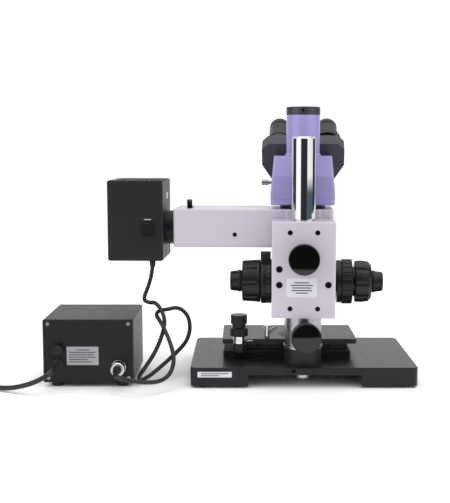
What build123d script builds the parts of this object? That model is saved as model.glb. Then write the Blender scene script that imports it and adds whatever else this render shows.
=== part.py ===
from build123d import *
import os
from math import cos, sin, tan, radians, degrees, pi, sqrt

# Trinocular reflected-light microscope on a pillar stand, with its separate
# lamp power supply.  Millimetres, +Z up.  Every sub-part is drawn about the
# pillar's axis on the table (X to the right, Y towards the user's side) and is
# then set in its place by one of the frames below.

# ---------------------------------------------------------------- dimensions
# where the pillar's axis stands in the part's frame
COL_X, COL_Y = 96.65, -65.364

SWING = 2.3          # how far the focus block is turned about the pillar
HEAD_TURN = 1.2      # how far the head is turned in its dovetail
COLLAR_TURN = 2.0    # how far the height collar is turned, the other way

# stand
BASE_W, BASE_D, BASE_REAR = 300.0, 200.0, -40.0
FOOT_H, BASE_TOP, BASE_PLATE = 3.0, 27.4, 9.0
COL_R, COL_TOP = 16.0, 328.7
SOCKET_R, SOCKET_TOP = 25.2, 46.8
COLLAR_R, COLLAR_BOTTOM, COLLAR_TOP = 24.9, 47.6, 91.1
RUN = 0.05           # radial clearance of a running fit

# focus block and drive
BLOCK_W, BLOCK_BACK, BLOCK_FRONT = 84.0, -30.0, 34.0
BLOCK_BOTTOM, BLOCK_SHOULDER, BLOCK_TOP, BLOCK_HEAD_FRONT = 91.3, 163.0, 218.4, 20.0
FOCUS_Y, FOCUS_Z = 27.0, 132.8
PINION_R = 7.5
COARSE_R, FINE_R, RING_R = 28.6, 14.6, 30.3

# illuminator arm and lamp house
OPTIC_Y = 66.0
ARM_L, ARM_R, ARM_BACK, ARM_FRONT = -177.1, 41.5, 25.0, 107.0
ARM_BOTTOM, ARM_TOP, ARM_WALL = 178.9, 230.6, 5.0
LIGHT_Z = 202.7
LAMP_L, LAMP_R, LAMP_BACK, LAMP_FRONT = -266.3, -190.5, 21.0, 111.0
LAMP_BOTTOM, LAMP_TOP, LAMP_WALL = 160.0, 269.8, 2.5
GLAND_X, GLAND_Y = -206.2, 30.2

# nosepiece
NOSE_TILT, SEAT_REACH, SEAT_Z = 15.0, 100.0, 144.0
SEAT_R = SEAT_REACH * sin(radians(NOSE_TILT))

# head
HEAD_BOTTOM, HEAD_SEAM, HEAD_BREAK, HEAD_TOP = 236.0, 244.3, 275.0, 302.5
HEAD_HALF_BOTTOM, HEAD_HALF_TOP = 43.8, 39.4
TUBE_R, TUBE_TOP, PORT_R, PORT_TOP = 23.2, 358.3, 19.0, 369.5
HINGE_Y, HINGE_Z, EYE_TILT = 46.1, 285.0, 60.0
EYE_X, EYE_W = 34.8, 15.3

# mechanical stage
STAGE_BACK, STAGE_FRONT, STAGE_L, STAGE_R = 27.0, 131.0, -108.9, 76.0
STAGE_TOP = 52.2
STAGE_KNOB_X, STAGE_KNOB_Y = -86.0, 15.0

# power supply
PSU_L, PSU_R, PSU_BACK, PSU_FRONT, PSU_BOTTOM, PSU_TOP = -343.3, -224.4, -34.0, 84.0, 6.5, 90.8

# leads
LAMP_LEAD_R, MAINS_LEAD_R = 2.75, 3.25

# -------------------------------------------------------------------- frames
STAND = Location((COL_X, COL_Y, 0))
SWUNG = STAND * Location((0, 0, 0), (0, 0, -SWING))
TURNED = STAND * Location((0, 0, 0), (0, 0, COLLAR_TURN))
HEAD = SWUNG * Location((0, OPTIC_Y, 0), (0, 0, -HEAD_TURN))
BINO = HEAD * Location((0, HINGE_Y, HINGE_Z), (-EYE_TILT, 0, 0))
NOSE_Y = OPTIC_Y + SEAT_REACH * cos(radians(NOSE_TILT)) * sin(radians(NOSE_TILT))
NOSE_Z = SEAT_Z + SEAT_REACH - SEAT_REACH * cos(radians(NOSE_TILT)) ** 2
NOSE = SWUNG * Location((0, NOSE_Y, NOSE_Z), (NOSE_TILT, 0, 0))

os.makedirs("parts", exist_ok=True)


def along_x(x):
    """A plane across X whose drawing axes are Y and Z."""
    return Plane(origin=(x, 0, 0), x_dir=(0, 1, 0), z_dir=(1, 0, 0))


def facing_back(y):
    """A plane across Y, facing the rear, whose drawing axes are -X and Z."""
    return Plane(origin=(0, y, 0), x_dir=(-1, 0, 0), z_dir=(0, 1, 0))


# ===================================================================== STAND
with BuildPart() as base_casting:
    with BuildSketch(Plane.XY.offset(FOOT_H)):
        with Locations((0, BASE_REAR + BASE_D / 2)):
            RectangleRounded(BASE_W, BASE_D, 9)
    extrude(amount=BASE_TOP - FOOT_H)
    fillet(base_casting.edges().group_by(Axis.Z)[-1], 1.6)
    # hollow underside with pads for the feet
    with BuildSketch(Plane.XY.offset(FOOT_H)):
        with Locations((0, BASE_REAR + BASE_D / 2)):
            RectangleRounded(BASE_W - 16, BASE_D - 16, 4)
        with Locations((-133, -24), (133, -24), (-133, 144), (133, 144)):
            Circle(12, mode=Mode.SUBTRACT)
    extrude(amount=BASE_TOP - FOOT_H - BASE_PLATE, mode=Mode.SUBTRACT)
    # opening in the rear wall, under the pillar
    with Locations((0.8, BASE_REAR, FOOT_H)):
        Box(149.4, 30, 14.6, align=(Align.CENTER, Align.CENTER, Align.MIN), mode=Mode.SUBTRACT)
    with Locations((0, 0, BASE_TOP)):
        Cylinder(5.1, 40, mode=Mode.SUBTRACT)
    # set-screw hole in the rear wall
    with Locations(Location((-14, BASE_REAR, 23.2), (90, 0, 0))):
        Cylinder(2.9, 24, mode=Mode.SUBTRACT)
base_casting.part = base_casting.part.moved(STAND)
base_casting.part.label = "base_casting"
export_step(base_casting.part, "parts/base_casting.step")

with BuildPart() as rubber_feet:
    with Locations((-133, -24, 0), (133, -24, 0), (-133, 144, 0), (133, 144, 0)):
        Cylinder(7, FOOT_H, align=(Align.CENTER, Align.CENTER, Align.MIN))
    with Locations((PSU_L + 16, PSU_BACK + 14, 0), (PSU_R - 16, PSU_BACK + 14, 0), (PSU_L + 16, PSU_FRONT - 14, 0), (PSU_R - 16, PSU_FRONT - 14, 0)):
        Cylinder(7.5, PSU_BOTTOM, align=(Align.CENTER, Align.CENTER, Align.MIN))
rubber_feet.part = rubber_feet.part.moved(STAND)
rubber_feet.part.label = "rubber_feet"
export_step(rubber_feet.part, "parts/rubber_feet.step")

with BuildPart() as column:
    with BuildSketch(Plane.XY.offset(BASE_TOP)):
        Circle(COL_R)
    extrude(amount=COL_TOP - BASE_TOP)
    chamfer(column.edges().group_by(Axis.Z)[-1], 2.6)
    with Locations((0, 0, BASE_TOP)):
        Cylinder(5, 25, align=(Align.CENTER, Align.CENTER, Align.MIN), mode=Mode.SUBTRACT)
column.part = column.part.moved(STAND)
column.part.label = "column"
export_step(column.part, "parts/column.step")

with BuildPart() as column_socket:
    with BuildSketch(Plane.XY.offset(BASE_TOP)):
        Circle(SOCKET_R)
        Circle(COL_R, mode=Mode.SUBTRACT)
    extrude(amount=SOCKET_TOP - BASE_TOP)
    chamfer(column_socket.edges().group_by(Axis.Z)[-1].sort_by(SortBy.RADIUS)[-1], 0.8)
column_socket.part = column_socket.part.moved(STAND)
column_socket.part.label = "column_socket"
export_step(column_socket.part, "parts/column_socket.step")



def dome_point(edge_r, sag, apex):
    """A point half way out on a dome that is sag deep at its edge, apex at the axis."""
    ball = (edge_r**2 + sag**2) / (2 * sag)
    return (edge_r / 2, apex + ball - sqrt(ball**2 - edge_r**2 / 4))


with BuildPart() as column_bolt:
    # domed head under the base plate, shank up into the pillar
    with BuildSketch(Plane.XZ):
        with BuildLine():
            Line((0, 4.6), (0, 18.4))
            Line((0, 18.4), (11, 18.4))
            Line((11, 18.4), (11, 6.4))
            ThreePointArc((11, 6.4), dome_point(11, 1.8, 4.6), (0, 4.6))
        make_face()
    revolve(axis=Axis.Z)
    with Locations((0, 0, 18.4)):
        Cylinder(5, 31, align=(Align.CENTER, Align.CENTER, Align.MIN))
column_bolt.part = column_bolt.part.moved(STAND)
column_bolt.part.label = "column_bolt"
export_step(column_bolt.part, "parts/column_bolt.step")

with BuildPart() as height_collar:
    with BuildSketch(Plane.XY.offset(COLLAR_BOTTOM)):
        Circle(26)
    extrude(amount=3.4)
    with BuildSketch(Plane.XY.offset(COLLAR_BOTTOM + 3.4)):
        Circle(COLLAR_R)
    extrude(amount=COLLAR_TOP - COLLAR_BOTTOM - 3.4)
    chamfer(height_collar.edges().group_by(Axis.Z)[-1], 0.8)
    with Locations((0, 0, COLLAR_BOTTOM)):
        Cylinder(COL_R + RUN, 50, align=(Align.CENTER, Align.CENTER, Align.MIN), mode=Mode.SUBTRACT)
    # tapped hole for the clamp screw
    with Locations(Location((0, -20, 68.2), (90, 0, 0))):
        Cylinder(4.1, 14, mode=Mode.SUBTRACT)
height_collar.part = height_collar.part.moved(TURNED)
height_collar.part.label = "height_collar"
export_step(height_collar.part, "parts/height_collar.step")


def clamp_knob(radius, near, far, tip, z, x):
    """A toothed, domed clamp knob on a screw along Y: face at far, screw end at tip."""
    with BuildPart() as knob:
        with BuildSketch(Plane.XZ.offset(-near)):
            with Locations((x, z)):
                Circle(radius)
                with PolarLocations(radius + 0.45, 56):
                    Circle(0.85, mode=Mode.SUBTRACT)
        extrude(amount=abs(far - near) - 0.9)
        with BuildSketch(Plane.XZ.offset(-far - 0.9)):
            with Locations((x, z)):
                Circle(radius - 0.55)
        extrude(amount=0.9, taper=35)
        with Locations(Location((x, near, z), (90, 0, 0))):
            Cylinder(radius * 0.55, 4.2, align=(Align.CENTER, Align.CENTER, Align.MAX))
        with Locations(Location((x, near, z), (90, 0, 0))):
            Cylinder(4, tip - near, align=(Align.CENTER, Align.CENTER, Align.MAX))
    return knob


collar_knob = clamp_knob(19.2, -36.0, -54.0, -16.3, 68.2, 0.0)
collar_knob.part = collar_knob.part.moved(TURNED)
collar_knob.part.label = "collar_knob"
export_step(collar_knob.part, "parts/collar_knob.step")

# ============================================================== FOCUS BLOCK
with BuildPart() as focus_block:
    with BuildSketch(along_x(-BLOCK_W / 2)):
        with BuildLine():
            Polyline(
                (BLOCK_BACK, BLOCK_BOTTOM), (BLOCK_FRONT, BLOCK_BOTTOM), (BLOCK_FRONT, BLOCK_SHOULDER),
                (BLOCK_HEAD_FRONT, BLOCK_SHOULDER), (BLOCK_HEAD_FRONT, BLOCK_TOP), (BLOCK_BACK, BLOCK_TOP), close=True)
        make_face()
    extrude(amount=BLOCK_W)
    fillet(focus_block.edges().filter_by(Axis.Z).group_by(Axis.Y)[0], 3.2)
    fillet(focus_block.edges().group_by(Axis.Z)[-1], 1.6)
    # guides of the focus slide
    for side in (-1, 1):
        with Locations((side * 30.5, BLOCK_FRONT + 5, 129)):
            Box(8, 10, 66)
    # pillar bore
    with Locations((0, 0, BLOCK_BOTTOM)):
        Cylinder(COL_R + RUN, 140, align=(Align.CENTER, Align.CENTER, Align.MIN), mode=Mode.SUBTRACT)
    # pinion shaft bore and pinion window
    with Locations(Location((0, FOCUS_Y, FOCUS_Z), (0, 90, 0))):
        Cylinder(6.45, BLOCK_W + 2, mode=Mode.SUBTRACT)
    with Locations((0, FOCUS_Y + 3, FOCUS_Z)):
        Box(24, 21, 19, mode=Mode.SUBTRACT)
    # clamp screw, blind adjusting holes and screw counterbores in the rear face
    with Locations(Location((0, BLOCK_BACK, 172.2), (90, 0, 0))):
        Cylinder(4.1, 30, mode=Mode.SUBTRACT)
    for x, z, r, depth in ((-31.8, 155.9, 4.5, 7), (-31.8, 135.3, 4.5, 7), (32.4, 135.6, 4.5, 7),
                           (-17.8, 204.1, 3.4, 9), (17.9, 204.1, 3.4, 9), (-17.6, 103.9, 3.4, 9), (18.5, 103.9, 3.4, 9)):
        with Locations(Location((x, BLOCK_BACK, z), (90, 0, 0))):
            Cylinder(r, 2 * depth, mode=Mode.SUBTRACT)
focus_block.part = focus_block.part.moved(SWUNG)
focus_block.part.label = "focus_block"
export_step(focus_block.part, "parts/focus_block.step")

with BuildPart() as block_screws:
    for x, z in ((-17.8, 204.1), (17.9, 204.1), (-17.6, 103.9), (18.5, 103.9)):
        with Locations(Location((x, BLOCK_BACK + 9, z), (90, 0, 0))):
            Cylinder(3.4, 8, align=(Align.CENTER, Align.CENTER, Align.MIN))
        with BuildSketch(Plane.XZ.offset(-BLOCK_BACK - 1)):
            with Locations((x, z)):
                RegularPolygon(1.9, 6)
        extrude(amount=-3, mode=Mode.SUBTRACT)
block_screws.part = block_screws.part.moved(SWUNG)
block_screws.part.label = "block_screws"
export_step(block_screws.part, "parts/block_screws.step")

block_knob = clamp_knob(19.6, -43.5, -62.0, -16.3, 172.2, 0.0)
block_knob.part = block_knob.part.moved(SWUNG)
block_knob.part.label = "block_knob"
export_step(block_knob.part, "parts/block_knob.step")


FOCUS_AXIS = Axis((0, FOCUS_Y, FOCUS_Z), (1, 0, 0))


def focus_turned(*profiles):
    """Solids turned about the focus shaft from (x, radius) outlines."""
    with BuildPart() as piece:
        for profile in profiles:
            with BuildSketch(Plane(origin=(0, FOCUS_Y, FOCUS_Z), x_dir=(1, 0, 0), z_dir=(0, 0, 1))):
                with BuildLine():
                    Polyline(*profile, close=True)
                make_face()
            revolve(axis=FOCUS_AXIS)
    return piece


lock_blank = focus_turned([(-57.1, 9), (-57.1, 29.2), (-56.1, RING_R), (-43.6, RING_R), (-42.6, 29.2), (-42.6, 14), (-42.1, 14), (-42.1, 9)])
with BuildPart() as focus_lock_ring:
    add(lock_blank.part)
    # ribbed grip that is pushed to lock the drive
    with BuildSketch(along_x(-57.1)):
        with BuildLine():
            Polyline((FOCUS_Y - 15, FOCUS_Z + 22), (FOCUS_Y - 15, FOCUS_Z + 34), (FOCUS_Y - 7, FOCUS_Z + 34), (FOCUS_Y - 7, FOCUS_Z + 27), close=True)
        make_face()
    extrude(amount=13.4)
    with BuildSketch(along_x(-57.1)):
        with Locations((FOCUS_Y - 11, FOCUS_Z + 35.6)):
            Circle(6.2)
            with PolarLocations(6.5, 16):
                Circle(0.8, mode=Mode.SUBTRACT)
    extrude(amount=13.4)
focus_lock_ring.part = focus_lock_ring.part.moved(SWUNG)
focus_lock_ring.part.label = "focus_lock_ring"
export_step(focus_lock_ring.part, "parts/focus_lock_ring.step")

tension_blank = focus_turned([
    (42.1, 9), (42.1, 14), (45.7, 14), (45.7, 28.6), (46.2, 29.1), (50.7, 29.1), (51.2, 28.6), (51.2, 27.6),
    (52.1, 27.6), (52.1, 29.4), (53.1, 30.4), (65.3, 30.4), (66.3, 29.4), (66.3, 9)])
with BuildPart() as tension_ring:
    add(tension_blank.part)
    for k in range(24):
        a = 2 * pi * k / 24
        with Locations((60.5, FOCUS_Y + 31.6 * cos(a), FOCUS_Z + 31.6 * sin(a))):
            Cylinder(2.2, 14, rotation=(0, 90, 0), mode=Mode.SUBTRACT)
tension_ring.part = tension_ring.part.moved(SWUNG)
tension_ring.part.label = "tension_ring"
export_step(tension_ring.part, "parts/tension_ring.step")

coarse_left = focus_turned([(-82.2, 6.4), (-82.2, 26.4), (-80.9, 27.7), (-77, 27.9), (-62, 28.9), (-59, 29.3), (-57.8, 28.3), (-57.8, 6.4)])
coarse_right = focus_turned([(67.4, 6.4), (67.4, 20), (70.2, 20), (70.2, 27.2), (71.2, 28.2), (80, 28.4), (88, 27.2), (91.9, 23.6), (91.9, 6.4)])
with BuildPart() as coarse_knobs:
    add(coarse_left.part)
    add(coarse_right.part)
    for k in range(9):
        a = 2 * pi * (k + 0.5) / 9
        with Locations((83, FOCUS_Y + 33.5 * cos(a), FOCUS_Z + 33.5 * sin(a))):
            Cylinder(7.2, 22, rotation=(0, 90, 0), mode=Mode.SUBTRACT)
        with Locations((-73, FOCUS_Y + 34.0 * cos(a), FOCUS_Z + 34.0 * sin(a))):
            Cylinder(7.2, 22, rotation=(0, 90, 0), mode=Mode.SUBTRACT)
coarse_knobs.part = coarse_knobs.part.moved(SWUNG)
coarse_knobs.part.label = "coarse_knobs"
export_step(coarse_knobs.part, "parts/coarse_knobs.step")

pinion_shaft = focus_turned([(-81.8, 3.1), (-81.8, 6.4), (-10, 6.4), (-10, PINION_R - 0.2), (10, PINION_R - 0.2), (10, 6.4), (91.5, 6.4), (91.5, 3.1)])
pinion_shaft.part = pinion_shaft.part.moved(SWUNG)
pinion_shaft.part.label = "pinion_shaft"
export_step(pinion_shaft.part, "parts/pinion_shaft.step")

fine_left = focus_turned([(-98.8, 0), (-98.8, 12.2), (-97.8, 13.2), (-84.4, 14.7), (-83.0, 14.0), (-83.0, 3.0), (104, 3.0), (104, 0)])
fine_right = focus_turned([(92.6, 3.0), (92.6, 13.8), (93.8, 14.5), (107.0, 13.1), (108.1, 12.0), (108.1, 0), (104, 0), (104, 3.0)])
with BuildPart() as fine_knobs:
    add(fine_left.part)
    add(fine_right.part)
fine_knobs.part = fine_knobs.part.moved(SWUNG)
fine_knobs.part.label = "fine_knobs"
export_step(fine_knobs.part, "parts/fine_knobs.step")

# ================================================================= CARRIAGE
with BuildPart() as focus_slide:
    with Locations((0, 41.1, (100 + ARM_BOTTOM) / 2)):
        Box(50, 9.8, ARM_BOTTOM - 100)
    # rack in front of the pinion
    with Locations((0, 35.4, 136)):
        Box(15, 1.6, 66)
focus_slide.part = focus_slide.part.moved(SWUNG)
focus_slide.part.label = "focus_slide"
export_step(focus_slide.part, "parts/focus_slide.step")

with BuildPart() as arm_housing:
    with BuildSketch(Plane.XY.offset(ARM_BOTTOM)):
        with Locations(((ARM_L + ARM_R) / 2, (ARM_BACK + ARM_FRONT) / 2)):
            RectangleRounded(ARM_R - ARM_L, ARM_FRONT - ARM_BACK, 5)
    extrude(amount=ARM_TOP - ARM_BOTTOM)
    # raised pad behind the pillar
    with BuildSketch(Plane.XY.offset(ARM_BOTTOM)):
        with Locations((0, ARM_BACK)):
            RectangleRounded(48, 7.6, 3)
    extrude(amount=ARM_TOP - ARM_BOTTOM)
    fillet(arm_housing.edges().group_by(Axis.Z)[-1], 1.8)
    chamfer(arm_housing.edges().group_by(Axis.Z)[0], 1.0)
    # hollow for the light path
    with Locations(((ARM_L + ARM_R) / 2 - 0.0, (ARM_BACK + ARM_FRONT) / 2, (ARM_BOTTOM + ARM_TOP) / 2)):
        Box(ARM_R - ARM_L - 2 * ARM_WALL, ARM_FRONT - ARM_BACK - 2 * ARM_WALL, ARM_TOP - ARM_BOTTOM - 2 * ARM_WALL, mode=Mode.SUBTRACT)
    with Locations(Location((ARM_L, OPTIC_Y, LIGHT_Z), (0, 90, 0))):
        Cylinder(19, 20, mode=Mode.SUBTRACT)
    with Locations((0, OPTIC_Y, ARM_TOP)):
        Cylinder(20, 20, mode=Mode.SUBTRACT)
    with Locations((0, OPTIC_Y, ARM_BOTTOM)):
        Cylinder(11, 20, mode=Mode.SUBTRACT)
    # slot for the aperture lever, set-screw holes
    with Locations((-156.6, OPTIC_Y, ARM_TOP)):
        Box(8.4, 46, 16, mode=Mode.SUBTRACT)
    with Locations((-133.4, OPTIC_Y + 3, ARM_TOP), (-82.4, OPTIC_Y + 3, ARM_TOP)):
        Cylinder(2.1, 6, mode=Mode.SUBTRACT)
    with Locations(Location((-92.9, ARM_BACK, 196.2), (90, 0, 0))):
        Cylinder(3.1, 7, mode=Mode.SUBTRACT)
arm_housing.part = arm_housing.part.moved(SWUNG)
arm_housing.part.label = "arm_housing"
export_step(arm_housing.part, "parts/arm_housing.step")

with BuildPart() as lamp_shell:
    with BuildSketch(Plane.XZ.offset(-LAMP_BACK - 2.5)):
        with Locations(((LAMP_L + LAMP_R) / 2, (LAMP_BOTTOM + LAMP_TOP) / 2)):
            RectangleRounded(LAMP_R - LAMP_L, LAMP_TOP - LAMP_BOTTOM, 3)
    extrude(amount=-(LAMP_FRONT - LAMP_BACK - 2.5))
    fillet(lamp_shell.edges().group_by(Axis.Y)[-1], 2)
    with Locations(((LAMP_L + LAMP_R) / 2, LAMP_BACK, (LAMP_BOTTOM + LAMP_TOP) / 2)):
        Box(LAMP_R - LAMP_L - 2 * LAMP_WALL, LAMP_FRONT - LAMP_BACK - LAMP_WALL, LAMP_TOP - LAMP_BOTTOM - 2 * LAMP_WALL,
            align=(Align.CENTER, Align.MIN, Align.CENTER), mode=Mode.SUBTRACT)
    # flange that enters the arm
    with Locations(Location((LAMP_R - 1, OPTIC_Y, LIGHT_Z), (0, 90, 0))):
        Cylinder(23.4, ARM_L - LAMP_R + 1, align=(Align.CENTER, Align.CENTER, Align.MIN))
    with Locations(Location((LAMP_R - 6, OPTIC_Y, LIGHT_Z), (0, 90, 0))):
        Cylinder(19, 30, align=(Align.CENTER, Align.CENTER, Align.MIN), mode=Mode.SUBTRACT)
    # cooling slots, top and bottom
    for k in range(8):
        with Locations((-251.2 + 7.27 * k, LAMP_BACK + 44, LAMP_TOP), (-251.2 + 7.27 * k, LAMP_BACK + 52, LAMP_BOTTOM)):
            Box(3, 70, 12, mode=Mode.SUBTRACT)
    # lead entry
    with Locations((GLAND_X, GLAND_Y, LAMP_BOTTOM)):
        Cylinder(4.4, 12, mode=Mode.SUBTRACT)
lamp_shell.part = lamp_shell.part.moved(SWUNG)
lamp_shell.part.label = "lamp_shell"
export_step(lamp_shell.part, "parts/lamp_shell.step")

with BuildPart() as lamp_cover:
    with BuildSketch(Plane.XZ.offset(-LAMP_BACK)):
        with Locations(((LAMP_L + LAMP_R) / 2, (LAMP_BOTTOM + LAMP_TOP) / 2)):
            RectangleRounded(LAMP_R - LAMP_L, LAMP_TOP - LAMP_BOTTOM, 3)
    extrude(amount=-2.5)
    chamfer(lamp_cover.edges().group_by(Axis.Y)[0], 0.7)
    with Locations(Location((-212.3, LAMP_BACK, 203.5), (90, 0, 0))):
        Cylinder(3.1, 12, mode=Mode.SUBTRACT)
lamp_cover.part = lamp_cover.part.moved(SWUNG)
lamp_cover.part.label = "lamp_cover"
export_step(lamp_cover.part, "parts/lamp_cover.step")

with BuildPart() as lamp_knob:
    with BuildSketch(Plane.XZ.offset(-LAMP_BACK + 0.3)):
        with Locations((-212.3, 203.5)):
            Circle(9.1)
            with PolarLocations(9.5, 24):
                Circle(0.7, mode=Mode.SUBTRACT)
    extrude(amount=8.5)
    chamfer(lamp_knob.faces().sort_by(Axis.Y)[0].edges(), 0.5)
    with Locations(Location((-212.3, LAMP_BACK, 203.5), (90, 0, 0))):
        Cylinder(3.0, 10)
lamp_knob.part = lamp_knob.part.moved(SWUNG)
lamp_knob.part.label = "lamp_knob"
export_step(lamp_knob.part, "parts/lamp_knob.step")

with BuildPart() as halogen_lamp:
    # capsule bulb and its ceramic holder, along the light path
    with BuildSketch(Plane(origin=(0, OPTIC_Y, LIGHT_Z), x_dir=(1, 0, 0), z_dir=(0, 0, 1))):
        with BuildLine():
            Polyline((-263.8, 0), (-263.8, 14), (-246, 14), (-246, 6), (-222, 6), (-217, 3), (-216, 0), close=True)
        make_face()
    revolve(axis=Axis((0, OPTIC_Y, LIGHT_Z), (1, 0, 0)))
halogen_lamp.part = halogen_lamp.part.moved(SWUNG)
halogen_lamp.part.label = "halogen_lamp"
export_step(halogen_lamp.part, "parts/halogen_lamp.step")

with BuildPart() as collector_lens:
    with BuildSketch(Plane(origin=(0, OPTIC_Y, LIGHT_Z), x_dir=(1, 0, 0), z_dir=(0, 0, 1))):
        with BuildLine():
            Line((-192.5, 0), (-192.5, 19))
            Line((-192.5, 19), (-188, 19))
            ThreePointArc((-188, 19), (-181 - dome_point(19, 7, 0)[1], 9.5), (-181, 0))
            Line((-181, 0), (-192.5, 0))
        make_face()
    revolve(axis=Axis((0, OPTIC_Y, LIGHT_Z), (1, 0, 0)))
collector_lens.part = collector_lens.part.moved(SWUNG)
collector_lens.part.label = "collector_lens"
export_step(collector_lens.part, "parts/collector_lens.step")

with BuildPart() as lamp_gland:
    with BuildSketch(Plane.XZ.offset(-GLAND_Y)):
        with BuildLine():
            Polyline((GLAND_X + 3.0, LAMP_BOTTOM + 3.5), (GLAND_X + 4.4, LAMP_BOTTOM + 3.5), (GLAND_X + 4.4, LAMP_BOTTOM), (GLAND_X + 5.0, LAMP_BOTTOM),
                     (GLAND_X + 5.0, LAMP_BOTTOM - 1.2), (GLAND_X + 4.1, LAMP_BOTTOM - 1.6), (GLAND_X + 3.5, LAMP_BOTTOM - 9), (GLAND_X + 3.0, LAMP_BOTTOM - 9), close=True)
        make_face()
    revolve(axis=Axis((GLAND_X, GLAND_Y, 0), (0, 0, 1)))
lamp_gland.part = lamp_gland.part.moved(SWUNG)
lamp_gland.part.label = "lamp_gland"
export_step(lamp_gland.part, "parts/lamp_gland.step")

LEVER_TILT = 22.0
with BuildPart() as aperture_lever:
    # iris ring inside the arm and the lever that turns it
    with BuildSketch(along_x(-159.6)):
        with Locations((OPTIC_Y, LIGHT_Z)):
            Circle(18.4)
            Circle(12, mode=Mode.SUBTRACT)
    extrude(amount=6)
    with Locations(Location((-156.6, OPTIC_Y, LIGHT_Z), (LEVER_TILT, 0, 0))):
        with Locations((0, 0, 17.5)):
            Box(5, 4, 14, align=(Align.CENTER, Align.CENTER, Align.MIN))
        with Locations((0, 0, 31.5)):
            Box(7, 5, 10.5, align=(Align.CENTER, Align.CENTER, Align.MIN))
aperture_lever.part = aperture_lever.part.moved(SWUNG)
aperture_lever.part.label = "aperture_lever"
export_step(aperture_lever.part, "parts/aperture_lever.step")

# ================================================================ NOSEPIECE
with BuildPart() as nosepiece_mount:
    with Locations(Location((0, NOSE_Y, NOSE_Z), (NOSE_TILT, 0, 0))):
        with Locations((0, 0, 13.4)):
            Cylinder(30, 50, align=(Align.CENTER, Align.CENTER, Align.MIN))
    split(bisect_by=Plane.XY.offset(ARM_BOTTOM), keep=Keep.BOTTOM)
    with Locations((0, OPTIC_Y, 165)):
        Cylinder(10.5, 60, mode=Mode.SUBTRACT)
nosepiece_mount.part = nosepiece_mount.part.moved(SWUNG)
nosepiece_mount.part.label = "nosepiece_mount"
export_step(nosepiece_mount.part, "parts/nosepiece_mount.step")

SEATS = [Location((0, NOSE_Y, NOSE_Z), (NOSE_TILT, 0, 0)) * Location((0, 0, 0), (0, 0, 90 * k)) * Location((0, -SEAT_R, 0), (-NOSE_TILT, 0, 0)) for k in range(4)]

with BuildPart() as turret:
    with Locations(Location((0, NOSE_Y, NOSE_Z), (NOSE_TILT, 0, 0))):
        with Locations((0, 0, 5)):
            Cylinder(39, 8, align=(Align.CENTER, Align.CENTER, Align.MIN))
        Cone(34, 39, 5, align=(Align.CENTER, Align.CENTER, Align.MIN))
    for seat in SEATS:
        # threaded bore and the flat seat around it
        with Locations(seat):
            Cylinder(10, 60, mode=Mode.SUBTRACT)
            Cylinder(13.4, 30, align=(Align.CENTER, Align.CENTER, Align.MAX), mode=Mode.SUBTRACT)
turret.part = turret.part.moved(SWUNG)
turret.part.label = "turret"
export_step(turret.part, "parts/turret.step")

OBJECTIVES = ((57, 5.5), (52, 6.5), (46, 8), (38, 9))  # length, front lens barrel radius
with BuildPart() as objectives:
    for seat, (length, nose) in zip(SEATS, OBJECTIVES):
        with Locations(seat):
            Cylinder(9.95, 4, align=(Align.CENTER, Align.CENTER, Align.MIN))
            Cylinder(12.5, length - 16, align=(Align.CENTER, Align.CENTER, Align.MAX))
        with Locations(seat * Location((0, 0, -(length - 16)))):
            Cone(nose + 1.2, 11.5, 10, align=(Align.CENTER, Align.CENTER, Align.MAX))
        with Locations(seat * Location((0, 0, -(length - 6)))):
            Cylinder(nose, 6, align=(Align.CENTER, Align.CENTER, Align.MAX))
objectives.part = objectives.part.moved(SWUNG)
objectives.part.label = "objectives"
export_step(objectives.part, "parts/objectives.step")

# ===================================================================== HEAD
with BuildPart() as head_dovetail:
    with BuildSketch(Plane.XZ):
        with BuildLine():
            Polyline((20, ARM_TOP), (30.8, ARM_TOP), (31.9, ARM_TOP + 1.6), (31.9, HEAD_BOTTOM - 1.2), (30.8, HEAD_BOTTOM), (20, HEAD_BOTTOM), close=True)
        make_face()
    revolve(axis=Axis.Z)
head_dovetail.part = head_dovetail.part.moved(HEAD)
head_dovetail.part.label = "head_dovetail"
export_step(head_dovetail.part, "parts/head_dovetail.step")

HEAD_K = HINGE_Y * cos(radians(30)) + HINGE_Z * sin(radians(30))


def head_front(z, back=0.0):
    """Depth of the head's sloping front at a height."""
    return (HEAD_K - back - z * sin(radians(30))) / cos(radians(30))


with BuildPart() as head_base:
    with BuildSketch(Plane.XY.offset(HEAD_BOTTOM)):
        with Locations((0, (-37 + head_front(HEAD_SEAM)) / 2)):
            RectangleRounded(2 * HEAD_HALF_BOTTOM, head_front(HEAD_SEAM) + 37, 5)
    extrude(amount=HEAD_SEAM - HEAD_BOTTOM)
    fillet(head_base.edges().group_by(Axis.Z)[0], 2.6)
    chamfer(head_base.edges().group_by(Axis.Z)[-1], 0.35)
    with Locations((0, 0, HEAD_BOTTOM)):
        Cylinder(20, 30, mode=Mode.SUBTRACT)
head_base.part = head_base.part.moved(HEAD)
head_base.part.label = "head_base"
export_step(head_base.part, "parts/head_base.step")


def head_form(inset):
    """The head's outline: sloping rear facet and front, sides leaning in."""
    i = inset
    z0 = HEAD_SEAM if i == 0 else HEAD_SEAM - 1
    with BuildPart() as form:
        with BuildSketch(along_x(-60)):
            with BuildLine():
                Polyline((-37 + i, z0), (-37 + i, HEAD_BREAK), (-27 + i, HEAD_TOP - i),
                         (head_front(HEAD_TOP - i, i), HEAD_TOP - i), (head_front(z0, i), z0), close=True)
            make_face()
        extrude(amount=120)
        with BuildSketch(Plane.XZ.offset(60)):
            with BuildLine():
                Polyline((-HEAD_HALF_BOTTOM + i, z0), (-HEAD_HALF_BOTTOM + i, 252), (-HEAD_HALF_TOP + i, HEAD_TOP - i),
                         (HEAD_HALF_TOP - i, HEAD_TOP - i), (HEAD_HALF_BOTTOM - i, 252), (HEAD_HALF_BOTTOM - i, z0), close=True)
            make_face()
        extrude(amount=-160, mode=Mode.INTERSECT)
    return form


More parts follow.
